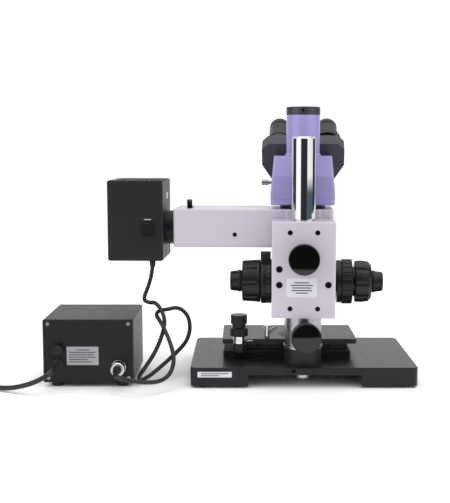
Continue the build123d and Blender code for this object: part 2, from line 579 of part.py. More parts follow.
head_outer, head_inner = head_form(0), head_form(4.0)
with BuildPart() as head_body:
    add(head_outer.part)
    fillet(head_body.edges().filter_by(lambda e: abs(e.center().Y) < 60 and e.center().Z > HEAD_SEAM + 3
                                       and abs(e.tangent_at(0.5).Y) < 0.95 and abs(e.tangent_at(0.5).X) < 0.5 and e.center().Y < -20), 3.0)
    add(head_inner.part, mode=Mode.SUBTRACT)
    with Locations((0, 0, HEAD_TOP)):
        Cylinder(18, 20, mode=Mode.SUBTRACT)
    with Locations(Location((-42, -6, 265.8), (0, 90, 0))):
        Cylinder(2.4, 16, mode=Mode.SUBTRACT)
head_body.part = head_body.part.moved(HEAD)
head_body.part.label = "head_body"
export_step(head_body.part, "parts/head_body.step")

with BuildPart() as phototube:
    with BuildSketch(Plane.XZ):
        with BuildLine():
            Line((18, HEAD_TOP), (25.6, HEAD_TOP))
            Line((25.6, HEAD_TOP), (25.6, HEAD_TOP + 1))
            ThreePointArc((25.6, HEAD_TOP + 1), (23.9, HEAD_TOP + 2.8), (TUBE_R, HEAD_TOP + 5.4))
            Line((TUBE_R, HEAD_TOP + 5.4), (TUBE_R, TUBE_TOP))
            Line((TUBE_R, TUBE_TOP), (18, TUBE_TOP))
            Line((18, TUBE_TOP), (18, HEAD_TOP))
        make_face()
    revolve(axis=Axis.Z)
phototube.part = phototube.part.moved(HEAD)
phototube.part.label = "phototube"
export_step(phototube.part, "parts/phototube.step")

with BuildPart() as phototube_ring:
    with BuildSketch(Plane.XZ):
        with BuildLine():
            Polyline((PORT_R, TUBE_TOP + 0.1), (23.0, TUBE_TOP + 0.1), (23.5, TUBE_TOP + 0.6), (23.5, PORT_TOP - 0.8), (22.7, PORT_TOP), (PORT_R, PORT_TOP), close=True)
        make_face()
    revolve(axis=Axis.Z)
    # clamp screw for a camera, in the rear of the ring
    with Locations(Location((0, -22.6, 364.4), (90, 0, 0))):
        Cylinder(4.2, 1.8, align=(Align.CENTER, Align.CENTER, Align.MIN))
phototube_ring.part = phototube_ring.part.moved(HEAD)
phototube_ring.part.label = "phototube_ring"
export_step(phototube_ring.part, "parts/phototube_ring.step")

with BuildPart() as pull_rod:
    with Locations(Location((-56.8, -6, 265.8), (0, 90, 0))):
        Cylinder(3.7, 9.3, align=(Align.CENTER, Align.CENTER, Align.MIN))
    with Locations(Location((-48, -6, 265.8), (0, 90, 0))):
        Cylinder(2.35, 22, align=(Align.CENTER, Align.CENTER, Align.MIN))
pull_rod.part = pull_rod.part.moved(HEAD)
pull_rod.part.label = "pull_rod"
export_step(pull_rod.part, "parts/pull_rod.step")

# binocular: drawn in the hinge's own frame, Z along the eyepieces, -Y up the slope
with BuildPart() as binocular_hub:
    Cylinder(24.5, 24.8, align=(Align.CENTER, Align.CENTER, Align.MIN))
    fillet(binocular_hub.edges().group_by(Axis.Z)[-1], 3)
binocular_hub.part = binocular_hub.part.moved(BINO)
binocular_hub.part.label = "binocular_hub"
export_step(binocular_hub.part, "parts/binocular_hub.step")


def wing(side):
    """One prism housing with its eyepiece tube; side is -1 left, 1 right."""
    with BuildPart() as piece:
        with BuildSketch(Plane.XY.offset(0.4)) as outline:
            with BuildLine():
                Polyline((side * 20, -38.8), (side * 49.5, -38.8), (side * 58.6, -30), (side * 58.6, -4), (side * 45, 19.5), (side * 36, 27), (side * 19, 27), close=True)
            make_face()
            fillet(outline.vertices().filter_by(lambda v: abs(v.X) > 30), 5)
            Circle(25, mode=Mode.SUBTRACT)
        extrude(amount=25.6)
        fillet(piece.edges().group_by(Axis.Z)[-1], 2.2)
        with Locations((side * EYE_X, -EYE_W, 25)):
            Cylinder(15.5, 22 if side < 0 else 28, align=(Align.CENTER, Align.CENTER, Align.MIN))
        if side < 0:
            with Locations((side * EYE_X, -EYE_W, 46)):
                Cylinder(17, 4, align=(Align.CENTER, Align.CENTER, Align.MIN))
        with Locations((side * EYE_X, -EYE_W, 30)):
            Cylinder(11.6, 40, align=(Align.CENTER, Align.CENTER, Align.MIN), mode=Mode.SUBTRACT)
    return piece


left_wing = wing(-1)
left_wing.part = left_wing.part.moved(BINO)
left_wing.part.label = "left_wing"
export_step(left_wing.part, "parts/left_wing.step")
right_wing = wing(1)
right_wing.part = right_wing.part.moved(BINO)
right_wing.part.label = "right_wing"
export_step(right_wing.part, "parts/right_wing.step")


def eyepiece(side, start):
    """Wide-field eyepiece with its barrel in the tube."""
    with BuildPart() as piece:
        with BuildSketch(Plane.XZ):
            with BuildLine():
                Polyline((0, start - 18), (11.6, start - 18), (11.6, start), (15.2, start), (15.3, 78), (13.8, 79), (13.8, 81), (15.0, 82), (15.0, 89.6),
                         (13.9, 92.2), (11.2, 94), (9.6, 94), (8.6, 91), (0, 90.2), close=True)
            make_face()
        revolve(axis=Axis.Z)
    piece.part = piece.part.moved(Location((side * EYE_X, -EYE_W, 0)))
    return piece


left_eyepiece = eyepiece(-1, 50.0)
left_eyepiece.part = left_eyepiece.part.moved(BINO)
left_eyepiece.part.label = "left_eyepiece"
export_step(left_eyepiece.part, "parts/left_eyepiece.step")
right_eyepiece = eyepiece(1, 53.0)
right_eyepiece.part = right_eyepiece.part.moved(BINO)
right_eyepiece.part.label = "right_eyepiece"
export_step(right_eyepiece.part, "parts/right_eyepiece.step")

with BuildPart() as diopter_ring:
    with BuildSketch(Plane.XY.offset(40)):
        with Locations((EYE_X, -EYE_W)):
            Circle(20.3)
            Circle(15.5 + RUN, mode=Mode.SUBTRACT)
            with PolarLocations(20.9, 30):
                Circle(1.1, mode=Mode.SUBTRACT)
    extrude(amount=12)
diopter_ring.part = diopter_ring.part.moved(BINO)
diopter_ring.part.label = "diopter_ring"
export_step(diopter_ring.part, "parts/diopter_ring.step")

# ==================================================================== STAGE
with BuildPart() as stage_base:
    with BuildSketch(Plane.XY.offset(BASE_TOP)):
        with Locations(((-107.8 + 67.7) / 2, (STAGE_BACK + 125) / 2)):
            RectangleRounded(175.5, 125 - STAGE_BACK, 3)
    extrude(amount=9.0)
    chamfer(stage_base.edges().group_by(Axis.Z)[-1], 0.6)
stage_base.part = stage_base.part.moved(STAND)
stage_base.part.label = "stage_base"
export_step(stage_base.part, "parts/stage_base.step")

with BuildPart() as stage_y_plate:
    with BuildSketch(Plane.XY.offset(BASE_TOP + 9.2)):
        with Locations(((-96.5 + 64.1) / 2, (34 + 118) / 2)):
            RectangleRounded(160.6, 84, 2)
    extrude(amount=8.8)
    # bracket that carries the two drive knobs
    with Locations((STAGE_KNOB_X, 24, 41.6)):
        Box(18, 22, 7.0)
    with Locations((STAGE_KNOB_X, STAGE_KNOB_Y, 38.1)):
        Cylinder(9, 9.7, align=(Align.CENTER, Align.CENTER, Align.MIN))
    with Locations((STAGE_KNOB_X, STAGE_KNOB_Y, 45)):
        Cylinder(7.5, 14.6, align=(Align.CENTER, Align.CENTER, Align.MIN))
    with Locations((STAGE_KNOB_X, STAGE_KNOB_Y, 45)):
        Cylinder(4.0, 26, align=(Align.CENTER, Align.CENTER, Align.MIN))
        Cylinder(2.05, 26, align=(Align.CENTER, Align.CENTER, Align.MIN), mode=Mode.SUBTRACT)
stage_y_plate.part = stage_y_plate.part.moved(STAND)
stage_y_plate.part.label = "stage_y_plate"
export_step(stage_y_plate.part, "parts/stage_y_plate.step")

with BuildPart() as stage_top_plate:
    with BuildSketch(Plane.XY.offset(45.6)):
        with Locations(((STAGE_L + STAGE_R) / 2, (STAGE_BACK + STAGE_FRONT) / 2)):
            RectangleRounded(STAGE_R - STAGE_L, STAGE_FRONT - STAGE_BACK, 4)
    extrude(amount=STAGE_TOP - 45.6)
    chamfer(stage_top_plate.edges().group_by(Axis.Z)[-1], 0.6)
    with Locations((-47.2, 40, STAGE_TOP)):
        Cylinder(2.55, 10, mode=Mode.SUBTRACT)
stage_top_plate.part = stage_top_plate.part.moved(STAND)
stage_top_plate.part.label = "stage_top_plate"
export_step(stage_top_plate.part, "parts/stage_top_plate.step")


def drive_knob(bottom, height, radius, bore, neck, shaft=0):
    """Ribbed knob turning about the upright stage shaft."""
    with BuildPart() as knob:
        with BuildSketch(Plane.XY.offset(bottom)):
            with Locations((STAGE_KNOB_X, STAGE_KNOB_Y)):
                Circle(radius)
                with PolarLocations(radius + 0.35, 36):
                    Circle(0.65, mode=Mode.SUBTRACT)
        extrude(amount=height)
        if neck:
            with Locations((STAGE_KNOB_X, STAGE_KNOB_Y, bottom - neck)):
                Cylinder(9.2, neck, align=(Align.CENTER, Align.CENTER, Align.MIN))
        if shaft:
            with Locations((STAGE_KNOB_X, STAGE_KNOB_Y, bottom - shaft)):
                Cylinder(2.0, shaft, align=(Align.CENTER, Align.CENTER, Align.MIN))
        if bore:
            with Locations((STAGE_KNOB_X, STAGE_KNOB_Y, bottom - neck)):
                Cylinder(4.0 + RUN, bore, align=(Align.CENTER, Align.CENTER, Align.MIN), mode=Mode.SUBTRACT)
    return knob


stage_y_knob = drive_knob(59.8, 10.6, 12.2, 30, 0)
stage_y_knob.part = stage_y_knob.part.moved(STAND)
stage_y_knob.part.label = "stage_y_knob"
export_step(stage_y_knob.part, "parts/stage_y_knob.step")
stage_x_knob = drive_knob(76.5, 12.0, 11.2, 0, 5.2, 26.0)
stage_x_knob.part = stage_x_knob.part.moved(STAND)
stage_x_knob.part.label = "stage_x_knob"
export_step(stage_x_knob.part, "parts/stage_x_knob.step")

with BuildPart() as specimen_clip:
    # post standing in the top plate, with a sprung finger
    with Locations((-47.2, 40, 48.2)):
        Cylinder(2.5, 5, align=(Align.CENTER, Align.CENTER, Align.MIN))
    with Locations((-47.2, 40, STAGE_TOP + 0.1)):
        Cylinder(3.5, 16.5, align=(Align.CENTER, Align.CENTER, Align.MIN))
    with Locations((-47.2, 40, STAGE_TOP + 14.6)):
        Cylinder(5.0, 2.0, align=(Align.CENTER, Align.CENTER, Align.MIN))
    with BuildSketch(Plane(origin=(-47.2, 40, 57.5), z_dir=(13.2, 8.0, 7.5))):
        Circle(2.0)
    extrude(amount=17)
specimen_clip.part = specimen_clip.part.moved(STAND)
specimen_clip.part.label = "specimen_clip"
export_step(specimen_clip.part, "parts/specimen_clip.step")

# ============================================================= POWER SUPPLY
PSU_CX, PSU_CY = (PSU_L + PSU_R) / 2, (PSU_BACK + PSU_FRONT) / 2
with BuildPart() as psu_cover:
    with BuildSketch(Plane.XZ.offset(-PSU_BACK)) as wrap:
        with Locations((PSU_CX, (PSU_BOTTOM + PSU_TOP) / 2)):
            RectangleRounded(PSU_R - PSU_L, PSU_TOP - PSU_BOTTOM, 2.5)
    extrude(amount=-(PSU_FRONT - PSU_BACK))
    with Locations((PSU_CX, PSU_CY, PSU_BOTTOM - 1)):
        Box(PSU_R - PSU_L - 4, 400, PSU_TOP - PSU_BOTTOM - 1, align=(Align.CENTER, Align.CENTER, Align.MIN), mode=Mode.SUBTRACT)
psu_cover.part = psu_cover.part.moved(STAND)
psu_cover.part.label = "psu_cover"
export_step(psu_cover.part, "parts/psu_cover.step")

with BuildPart() as psu_tray:
    with Locations((PSU_CX, PSU_CY, PSU_BOTTOM)):
        Box(PSU_R - PSU_L - 4, PSU_FRONT - PSU_BACK - 1.6, 2, align=(Align.CENTER, Align.CENTER, Align.MIN))
    with Locations((PSU_CX, PSU_BACK + 1.8, PSU_BOTTOM), (PSU_CX, PSU_FRONT - 1.8, PSU_BOTTOM)):
        Box(PSU_R - PSU_L - 4, 2, PSU_TOP - PSU_BOTTOM - 2, align=(Align.CENTER, Align.CENTER, Align.MIN))
    # switch opening in the front panel
    with Locations((PSU_L + 26, PSU_FRONT, 32)):
        Box(14.6, 20, 21.6, mode=Mode.SUBTRACT)
    with Locations(Location((PSU_R - 34, PSU_FRONT, 48), (90, 0, 0))):
        Cylinder(3.0 + RUN, 20, mode=Mode.SUBTRACT)
psu_tray.part = psu_tray.part.moved(STAND)
psu_tray.part.label = "psu_tray"
export_step(psu_tray.part, "parts/psu_tray.step")
PANEL = PSU_BACK + 0.8   # outer face of the rear panel

with BuildPart() as psu_screws:
    for x, z in ((PSU_L + 6.6, 84.6), (PSU_R - 6.6, 84.6), (PSU_L + 6.6, 12.6), (PSU_R - 6.6, 12.6)):
        with Locations(Location((x, PANEL, z), (90, 0, 0))):
            Cylinder(2.5, 1.4, align=(Align.CENTER, Align.CENTER, Align.MIN))
    fillet(psu_screws.edges().group_by(Axis.Y)[0], 0.6)
psu_screws.part = psu_screws.part.moved(STAND)
psu_screws.part.label = "psu_screws"
export_step(psu_screws.part, "parts/psu_screws.step")

with BuildPart() as fuse_holder:
    with Locations(Location((-323.3, PANEL, 51.4), (90, 0, 0))):
        Cylinder(7.4, 2, align=(Align.CENTER, Align.CENTER, Align.MIN))
        Cylinder(6.3, 10, align=(Align.CENTER, Align.CENTER, Align.MIN))
    chamfer(fuse_holder.faces().sort_by(Axis.Y)[0].edges(), 0.6)
    with Locations((-323.3, PANEL - 10, 51.4)):
        Box(8, 2.4, 1.2, mode=Mode.SUBTRACT)
fuse_holder.part = fuse_holder.part.moved(STAND)
fuse_holder.part.label = "fuse_holder"
export_step(fuse_holder.part, "parts/fuse_holder.step")

with BuildPart() as mains_gland:
    with BuildSketch(Plane.XY.offset(31.3)):
        with BuildLine():
            Polyline((-323.6, PANEL), (-316.8, PANEL), (-316.8, PANEL - 3), (-318.4, PANEL - 4), (-319.9, PANEL - 22), (-323.6, PANEL - 22), close=True)
        make_face()
    revolve(axis=Axis((-323.6, PANEL, 31.3), (0, 1, 0)))
mains_gland.part = mains_gland.part.moved(STAND)
mains_gland.part.label = "mains_gland"
export_step(mains_gland.part, "parts/mains_gland.step")

with BuildPart() as lamp_outlet:
    with Locations(Location((-244.0, PANEL, 27.4), (90, 0, 0))):
        Cylinder(9.4, 2.2, align=(Align.CENTER, Align.CENTER, Align.MIN))
        Cylinder(8.6, 8.0, align=(Align.CENTER, Align.CENTER, Align.MIN))
lamp_outlet.part = lamp_outlet.part.moved(STAND)
lamp_outlet.part.label = "lamp_outlet"
export_step(lamp_outlet.part, "parts/lamp_outlet.step")

with BuildPart() as lamp_plug:
    with BuildSketch(Plane.XY.offset(27.4)):
        with BuildLine():
            Polyline((-244, PANEL - 8), (-235.2, PANEL - 8), (-234.9, PANEL - 8.6), (-234.9, PANEL - 17), (-235.8, PANEL - 18), (-238.2, PANEL - 18),
                     (-239.0, PANEL - 24), (-240.6, PANEL - 34), (-244, PANEL - 34), close=True)
        make_face()
    revolve(axis=Axis((-244, PANEL, 27.4), (0, 1, 0)))
lamp_plug.part = lamp_plug.part.moved(STAND)
lamp_plug.part.label = "lamp_plug"
export_step(lamp_plug.part, "parts/lamp_plug.step")

with BuildPart() as power_switch:
    with BuildSketch(along_x(PSU_L + 26 - 6.5)):
        with BuildLine():
            Polyline((PSU_FRONT - 7, 23), (PSU_FRONT - 7, 41), (PSU_FRONT + 1.2, 41.8), (PSU_FRONT - 0.2, 32), (PSU_FRONT + 1.2, 22.2), close=True)
        make_face()
    extrude(amount=13)
power_switch.part = power_switch.part.moved(STAND)
power_switch.part.label = "power_switch"
export_step(power_switch.part, "parts/power_switch.step")

with BuildPart() as dimmer_knob:
    with BuildSketch(Plane.XZ.offset(-PSU_FRONT - 0.2)):
        with Locations((PSU_R - 34, 48)):
            Circle(15)
            with PolarLocations(15.5, 30):
                Circle(0.9, mode=Mode.SUBTRACT)
    extrude(amount=-15)
    chamfer(dimmer_knob.faces().sort_by(Axis.Y)[-1].edges(), 0.6)
    with Locations(Location((PSU_R - 34, PSU_FRONT + 1, 48), (90, 0, 0))):
        Cylinder(3.0, 12, align=(Align.CENTER, Align.CENTER, Align.MIN))
dimmer_knob.part = dimmer_knob.part.moved(STAND)
dimmer_knob.part.label = "dimmer_knob"
export_step(dimmer_knob.part, "parts/dimmer_knob.step")

# ==================================================================== LEADS
# Points of each lead's centre line, about the pillar's foot.


def turned_by(a, b, c):
    """Turn of a route at its middle point, in degrees."""
    return (Vector(b) - Vector(a)).get_angle(Vector(c) - Vector(b))


def lead(points, radius, name, folds=()):
    """A tube of straight runs and tangent arcs along a route."""
    radii = []
    for a, b, c in zip(points, points[1:], points[2:]):
        shorter = min((Vector(b) - Vector(a)).length, (Vector(c) - Vector(b)).length)
        radii.append(0.45 * shorter / tan(radians(turned_by(a, b, c)) / 2))
    print(name, "radii", [round(r, 1) for r in radii])
    print(name, "runs", [round((Vector(b) - Vector(a)).length, 1) for a, b in zip(points, points[1:])])
    with BuildPart() as tube:
        with BuildLine() as route:
            FilletPolyline(*points, radius=radii)
        wire = route.wires()[0]
        with BuildSketch(Plane(origin=wire @ 0, z_dir=wire % 0)):
            Circle(radius)
        sweep(path=wire)
    length = wire.length
    print(name, "length", round(length, 1), "volume ratio", round(tube.part.volume / (pi * radius**2 * length), 4))
    return tube


def swung_point(x, y, z):
    """A point of the swung frame, about the pillar's foot."""
    a = radians(-SWING)
    return (x * cos(a) - y * sin(a), x * sin(a) + y * cos(a), z)


def beyond(a, b, further):
    """The point further along the line from a through b."""
    step = (Vector(b) - Vector(a)).normalized() * further
    return tuple(Vector(b) + step)


GLAND_AT = swung_point(GLAND_X, GLAND_Y, 0)
GX, GY = round(GLAND_AT[0], 2), round(GLAND_AT[1], 2)
FOLD = (-214.5, 35.62, 115.1)      # above the fold below the lamp house
LOW = (-213.4, -23.5, 19.8)        # above the fold beside the supply
UPPER_POINTS = [(GX, GY, 158.0), (GX, GY, 138.0), FOLD]
MIDDLE_POINTS = [
    FOLD, beyond((GX, GY, 138.0), FOLD, 10.0), (-210.0, 32.2, 101.8), (-201.2, 27.2, 103.4), (-194.2, 21.0, 97.6), (-189.0, 15.4, 89.4), (-186.2, 9.6, 79.0),
    (-188.6, 3, 66.0), (-194.4, -6, 49.8), (-202.2, -14.2, 35.0), LOW,
]
LOWER_POINTS = [
    beyond((-202.2, -14.2, 35.0), LOW, 0.02), beyond((-202.2, -14.2, 35.0), LOW, 8.0), (-219.3, -22.6, 8.0), (-214.6, -15.2, 5.4), (-205.2, -5.0, 9.0),
    (-194.0, 5.2, 16.8), (-181.8, 13, 26.4), (-168.9, 20, 37.6), (-157.6, 24.5, 50.0),
    (-152.9, 26, 65.5), (-154.5, 26.2, 81.5), (-161.8, 25.6, 92.4), (-172.1, 25.2, 96.9), (-183.7, 27.0, 93.4), (-194.8, 28.6, 92.2),
    (-199.8, 17.4, 88.4), (-191.5, 1.0, 81.4), (-183.0, -8, 67.4), (-175.9, -19, 53.0), (-171.3, -31, 39.0),
    (-172.6, -42.5, 27.0), (-178.6, -55.5, 18.6), (-189.0, -68.5, 15.9), (-201.5, -79, 17.5), (-214.5, -86, 20.4), (-227.5, -88.5, 23.4),
    (-237.6, -86.5, 26.0), (-244.0, -78.6, 27.4), (-244.0, PANEL - 34, 27.4),
]
lamp_cable_upper = lead(UPPER_POINTS, LAMP_LEAD_R, "lamp_cable_upper")
lamp_cable_upper.part = lamp_cable_upper.part.moved(STAND)
lamp_cable_upper.part.label = "lamp_cable_upper"
export_step(lamp_cable_upper.part, "parts/lamp_cable_upper.step")
lamp_cable_middle = lead(MIDDLE_POINTS, LAMP_LEAD_R, "lamp_cable_middle")
lamp_cable_middle.part = lamp_cable_middle.part.moved(STAND)
lamp_cable_middle.part.label = "lamp_cable_middle"
export_step(lamp_cable_middle.part, "parts/lamp_cable_middle.step")
lamp_cable_lower = lead(LOWER_POINTS, LAMP_LEAD_R, "lamp_cable_lower")
lamp_cable_lower.part = lamp_cable_lower.part.moved(STAND)
lamp_cable_lower.part.label = "lamp_cable_lower"
export_step(lamp_cable_lower.part, "parts/lamp_cable_lower.step")

COIL_X, COIL_Y, COIL_IN, COIL_OUT, COIL_H = -461.0, -30.0, 25.5, 45.0, 13.5
MAINS_POINTS = [
    (-323.6, PANEL - 22, 31.3), (-323.6, PANEL - 33, 31.3), (-326.5, PANEL - 44, 25.8), (-334.0, PANEL - 51, 16.4), (-346.0, PANEL - 51.5, 8.2),
    (-362.0, PANEL - 46, 4.4), (-381.0, PANEL - 34, 3.6), (-398.0, PANEL - 19.5, 3.7), (COIL_X + COIL_OUT, COIL_Y - 9, 3.9),
]
mains_cable = lead(MAINS_POINTS, MAINS_LEAD_R, "mains_cable")
mains_cable.part = mains_cable.part.moved(STAND)
mains_cable.part.label = "mains_cable"
export_step(mains_cable.part, "parts/mains_cable.step")

with BuildPart() as mains_coil:
    with BuildSketch(Plane.XY):
        with Locations((COIL_X, COIL_Y)):
            Circle(COIL_OUT)
            Circle(COIL_IN, mode=Mode.SUBTRACT)
    extrude(amount=COIL_H)
    fillet(mains_coil.edges().group_by(Axis.Z)[-1], 3)
mains_coil.part = mains_coil.part.moved(STAND)
mains_coil.part.label = "mains_coil"
export_step(mains_coil.part, "parts/mains_coil.step")

PLUG_X, PLUG_Y = -479.0, 40.0
with BuildPart() as mains_plug:
    # two-pin grounded plug lying on its side, with its tapered sleeve
    with BuildSketch(Plane.YZ.offset(PLUG_X - 18)):
        with Locations((PLUG_Y, 18.5)):
            Circle(18.5)
    extrude(amount=16)
    with BuildSketch(Plane.YZ.offset(PLUG_X - 2)):
        with Locations((PLUG_Y, 18.5)):
            Circle(16)
    extrude(amount=14, taper=22)
    with BuildSketch(Plane.YZ.offset(PLUG_X + 12)):
        with Locations((PLUG_Y, 18.5)):
            Circle(6)
    extrude(amount=22, taper=6)
    with Locations(Location((PLUG_X - 18, PLUG_Y - 9.5, 18.5), (0, -90, 0)), Location((PLUG_X - 18, PLUG_Y + 9.5, 18.5), (0, -90, 0))):
        Cylinder(2.4, 19, align=(Align.CENTER, Align.CENTER, Align.MIN))
mains_plug.part = mains_plug.part.moved(STAND)
mains_plug.part.label = "mains_plug"
export_step(mains_plug.part, "parts/mains_plug.step")
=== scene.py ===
import bpy, bmesh, math
from mathutils import Vector, Matrix


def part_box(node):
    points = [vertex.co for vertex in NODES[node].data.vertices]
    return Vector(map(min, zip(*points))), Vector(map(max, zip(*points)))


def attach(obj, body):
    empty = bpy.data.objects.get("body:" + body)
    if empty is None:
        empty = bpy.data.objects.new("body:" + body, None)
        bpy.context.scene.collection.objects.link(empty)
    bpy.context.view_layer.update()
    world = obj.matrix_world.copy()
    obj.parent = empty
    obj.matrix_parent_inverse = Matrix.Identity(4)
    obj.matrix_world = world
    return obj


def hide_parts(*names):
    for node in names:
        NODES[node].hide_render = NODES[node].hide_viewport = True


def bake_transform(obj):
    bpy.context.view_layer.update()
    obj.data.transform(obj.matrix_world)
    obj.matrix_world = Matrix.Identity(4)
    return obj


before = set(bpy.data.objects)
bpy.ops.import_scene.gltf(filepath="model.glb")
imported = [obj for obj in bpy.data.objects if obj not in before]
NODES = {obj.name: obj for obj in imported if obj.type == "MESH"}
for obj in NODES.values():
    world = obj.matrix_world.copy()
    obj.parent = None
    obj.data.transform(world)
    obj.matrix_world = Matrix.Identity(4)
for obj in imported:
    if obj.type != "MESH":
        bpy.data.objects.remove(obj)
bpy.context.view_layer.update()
scene = bpy.context.scene

# ------------------------------------------------------------------ frames
# the same frames as the model's own: the pillar's foot, the turned block, the head, the hinge of the eyepieces
_lo, _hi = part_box("column")
COLX, COLY = (_lo[0] + _hi[0]) / 2, (_lo[1] + _hi[1]) / 2


def T(x, y, z):
    return Matrix.Translation((x / 1000, y / 1000, z / 1000))


def R(deg, axis):
    return Matrix.Rotation(math.radians(deg), 4, axis)


STAND = Matrix.Translation((COLX, COLY, 0))
SWUNG = STAND @ R(-2.3, 'Z')
TURNED = STAND @ R(2.0, 'Z')
HEAD = SWUNG @ T(0, 66, 0) @ R(-1.2, 'Z')
BINO = HEAD @ T(0, 46.1, 285) @ R(-60, 'X')
NOSE_Y = 66 + 100 * math.cos(math.radians(15)) * math.sin(math.radians(15))
NOSE_Z = 144 + 100 - 100 * math.cos(math.radians(15)) ** 2
NOSE = SWUNG @ T(0, NOSE_Y, NOSE_Z) @ R(15, 'X')
SEATS = [NOSE @ R(90 * k, 'Z') @ T(0, -100 * math.sin(math.radians(15)), 0) @ R(-15, 'X') for k in range(4)]


def lin(c):
    """sRGB 0-255 to linear."""
    out = []
    for v in c:
        v /= 255
        out.append(v / 12.92 if v <= 0.04045 else ((v + 0.055) / 1.055) ** 2.4)
    return out


# --------------------------------------------------------------- materials
class Mat:
    def __init__(self, name):
        self.m = bpy.data.materials.new(name)
        self.m.use_nodes = True
        self.t = self.m.node_tree
        self.t.nodes.clear()
        self.out = self.t.nodes.new("ShaderNodeOutputMaterial")
        self.b = self.t.nodes.new("ShaderNodeBsdfPrincipled")
        self.t.links.new(self.b.outputs[0], self.out.inputs[0])
        self.tc = self.t.nodes.new("ShaderNodeTexCoord")

    def node(self, kind, **props):
        n = self.t.nodes.new(kind)
        for k, v in props.items():
            setattr(n, k, v)
        return n

    def link(self, a, b):
        self.t.links.new(a, b)

    def coords(self, scale=(1, 1, 1)):
        mp = self.node("ShaderNodeMapping")
        mp.inputs["Scale"].default_value = scale
        self.link(self.tc.outputs["Object"], mp.inputs["Vector"])
        return mp.outputs[0]

    def noise(self, scale, detail=3, rough=0.55, stretch=(1, 1, 1)):
        n = self.node("ShaderNodeTexNoise")
        n.inputs["Scale"].default_value = scale
        n.inputs["Detail"].default_value = detail
        n.inputs["Roughness"].default_value = rough
        self.link(self.coords(stretch), n.inputs["Vector"])
        return n.outputs["Fac"]

    def rng(self, src, lo, hi, a=0.3, b=0.7):
        n = self.node("ShaderNodeMapRange")
        n.inputs["From Min"].default_value = a
        n.inputs["From Max"].default_value = b
        n.inputs["To Min"].default_value = lo
        n.inputs["To Max"].default_value = hi
        self.link(src, n.inputs["Value"])
        return n.outputs[0]

    def mix(self, fac, a, b):
        n = self.node("ShaderNodeMix", data_type='RGBA')
        for k, v in ((6, a), (7, b)):
            if isinstance(v, (list, tuple)):
                n.inputs[k].default_value = (*v[:3], 1)
            else:
                self.link(v, n.inputs[k])
        self.link(fac, n.inputs[0])
        return n.outputs[2]

    def bump(self, src, strength, distance, normal=None):
        n = self.node("ShaderNodeBump")
        n.inputs["Strength"].default_value = strength
        n.inputs["Distance"].default_value = distance
        self.link(src, n.inputs["Height"])
        if normal is not None:
            self.link(normal, n.inputs["Normal"])
        self.link(n.outputs[0], self.b.inputs["Normal"])
        return n.outputs[0]


def finish(name, colour, rough, metal=0.0, vary=0.06, peel=None, grain=None, coat=0.0, spec=0.5, wear=None, rough_vary=0.05, stretch=(1, 1, 1), mottle=60):
    """A painted, moulded or machined surface: mottled colour, uneven gloss, orange peel or grain."""
    m = Mat(name)
    big = m.noise(mottle, 4, 0.6, stretch)
    dark = [c * (1 - vary) for c in colour]
    light = [min(1, c * (1 + vary)) for c in colour]
    col = m.mix(m.rng(big, 0, 1), dark, light)
    if wear is not None:
        # edges rubbed to a lighter tone
        geo = m.node("ShaderNodeNewGeometry")
        soft = m.node("ShaderNodeBevel", samples=4)
        soft.inputs["Radius"].default_value = 0.0007
        dot = m.node("ShaderNodeVectorMath", operation='DOT_PRODUCT')
        m.link(soft.outputs[0], dot.inputs[0])
        m.link(geo.outputs["Normal"], dot.inputs[1])
        edge = m.rng(dot.outputs["Value"], 0.75, 0, 0.90, 0.995)
        mul = m.node("ShaderNodeMath", operation='MULTIPLY')
        m.link(edge, mul.inputs[0])
        m.link(m.rng(m.noise(700, 2, 0.7), 0, 1, 0.45, 0.6), mul.inputs[1])
        col = m.mix(mul.outputs[0], col, wear)
    m.link(col, m.b.inputs["Base Color"])
    m.link(m.rng(m.noise(mottle * 2.3, 3, 0.6, stretch), rough - rough_vary, rough + rough_vary), m.b.inputs["Roughness"])
    m.b.inputs["Metallic"].default_value = metal
    m.b.inputs["Specular IOR Level"].default_value = spec
    if coat:
        m.b.inputs["Coat Weight"].default_value = coat
        m.b.inputs["Coat Roughness"].default_value = 0.12
    nrm = None
    if peel:
        nrm = m.bump(m.noise(peel[0], 2, 0.5), peel[1], 0.00012)
    if grain:
        m.bump(m.noise(grain[0], 3, 0.7, grain[2] if len(grain) > 2 else (1, 1, 1)), grain[1], 0.00006, nrm)
    return m.m


LILAC = finish("lilac_enamel", lin((188, 181, 194)), 0.36, vary=0.012, peel=(420, 0.10), grain=(2600, 0.05), coat=0.2, rough_vary=0.03)
PURPLE = finish("purple_enamel", lin((146, 137, 190)), 0.30, vary=0.02, peel=(420, 0.12), grain=(2600, 0.05), coat=0.25, rough_vary=0.03)
BASE_PAINT = finish("base_enamel", lin((25, 24, 29)), 0.36, vary=0.06, spec=0.2, peel=(300, 0.16), grain=(1500, 0.10), coat=0.15, rough_vary=0.03, wear=lin((90, 88, 90)))
SUPPLY_PAINT = finish("supply_paint", lin((28, 27, 29)), 0.44, vary=0.06, spec=0.35, grain=(2200, 0.6), peel=(900, 0.3), rough_vary=0.03, wear=lin((80, 79, 81)))
SUPPLY_PANEL = finish("supply_panel", lin((20, 21, 24)), 0.46, vary=0.06, spec=0.3, grain=(2400, 0.4), rough_vary=0.03, wear=lin((70, 70, 72)))
LAMP_BLACK = finish("lamp_house_paint", lin((18, 19, 22)), 0.48, vary=0.06, grain=(1900, 0.7), peel=(900, 0.4), rough_vary=0.03, wear=lin((70, 70, 72)))
SATIN_BLACK = finish("satin_black", lin((30, 30, 33)), 0.46, vary=0.06, spec=0.4, peel=(500, 0.2), grain=(2600, 0.2), rough_vary=0.03, wear=lin((80, 80, 82)))
ANODISED = finish("black_anodised", lin((22, 22, 24)), 0.36, metal=0.2, vary=0.05, grain=(1400, 0.15, (1, 1, 6)), rough_vary=0.03, wear=lin((110, 110, 112)))
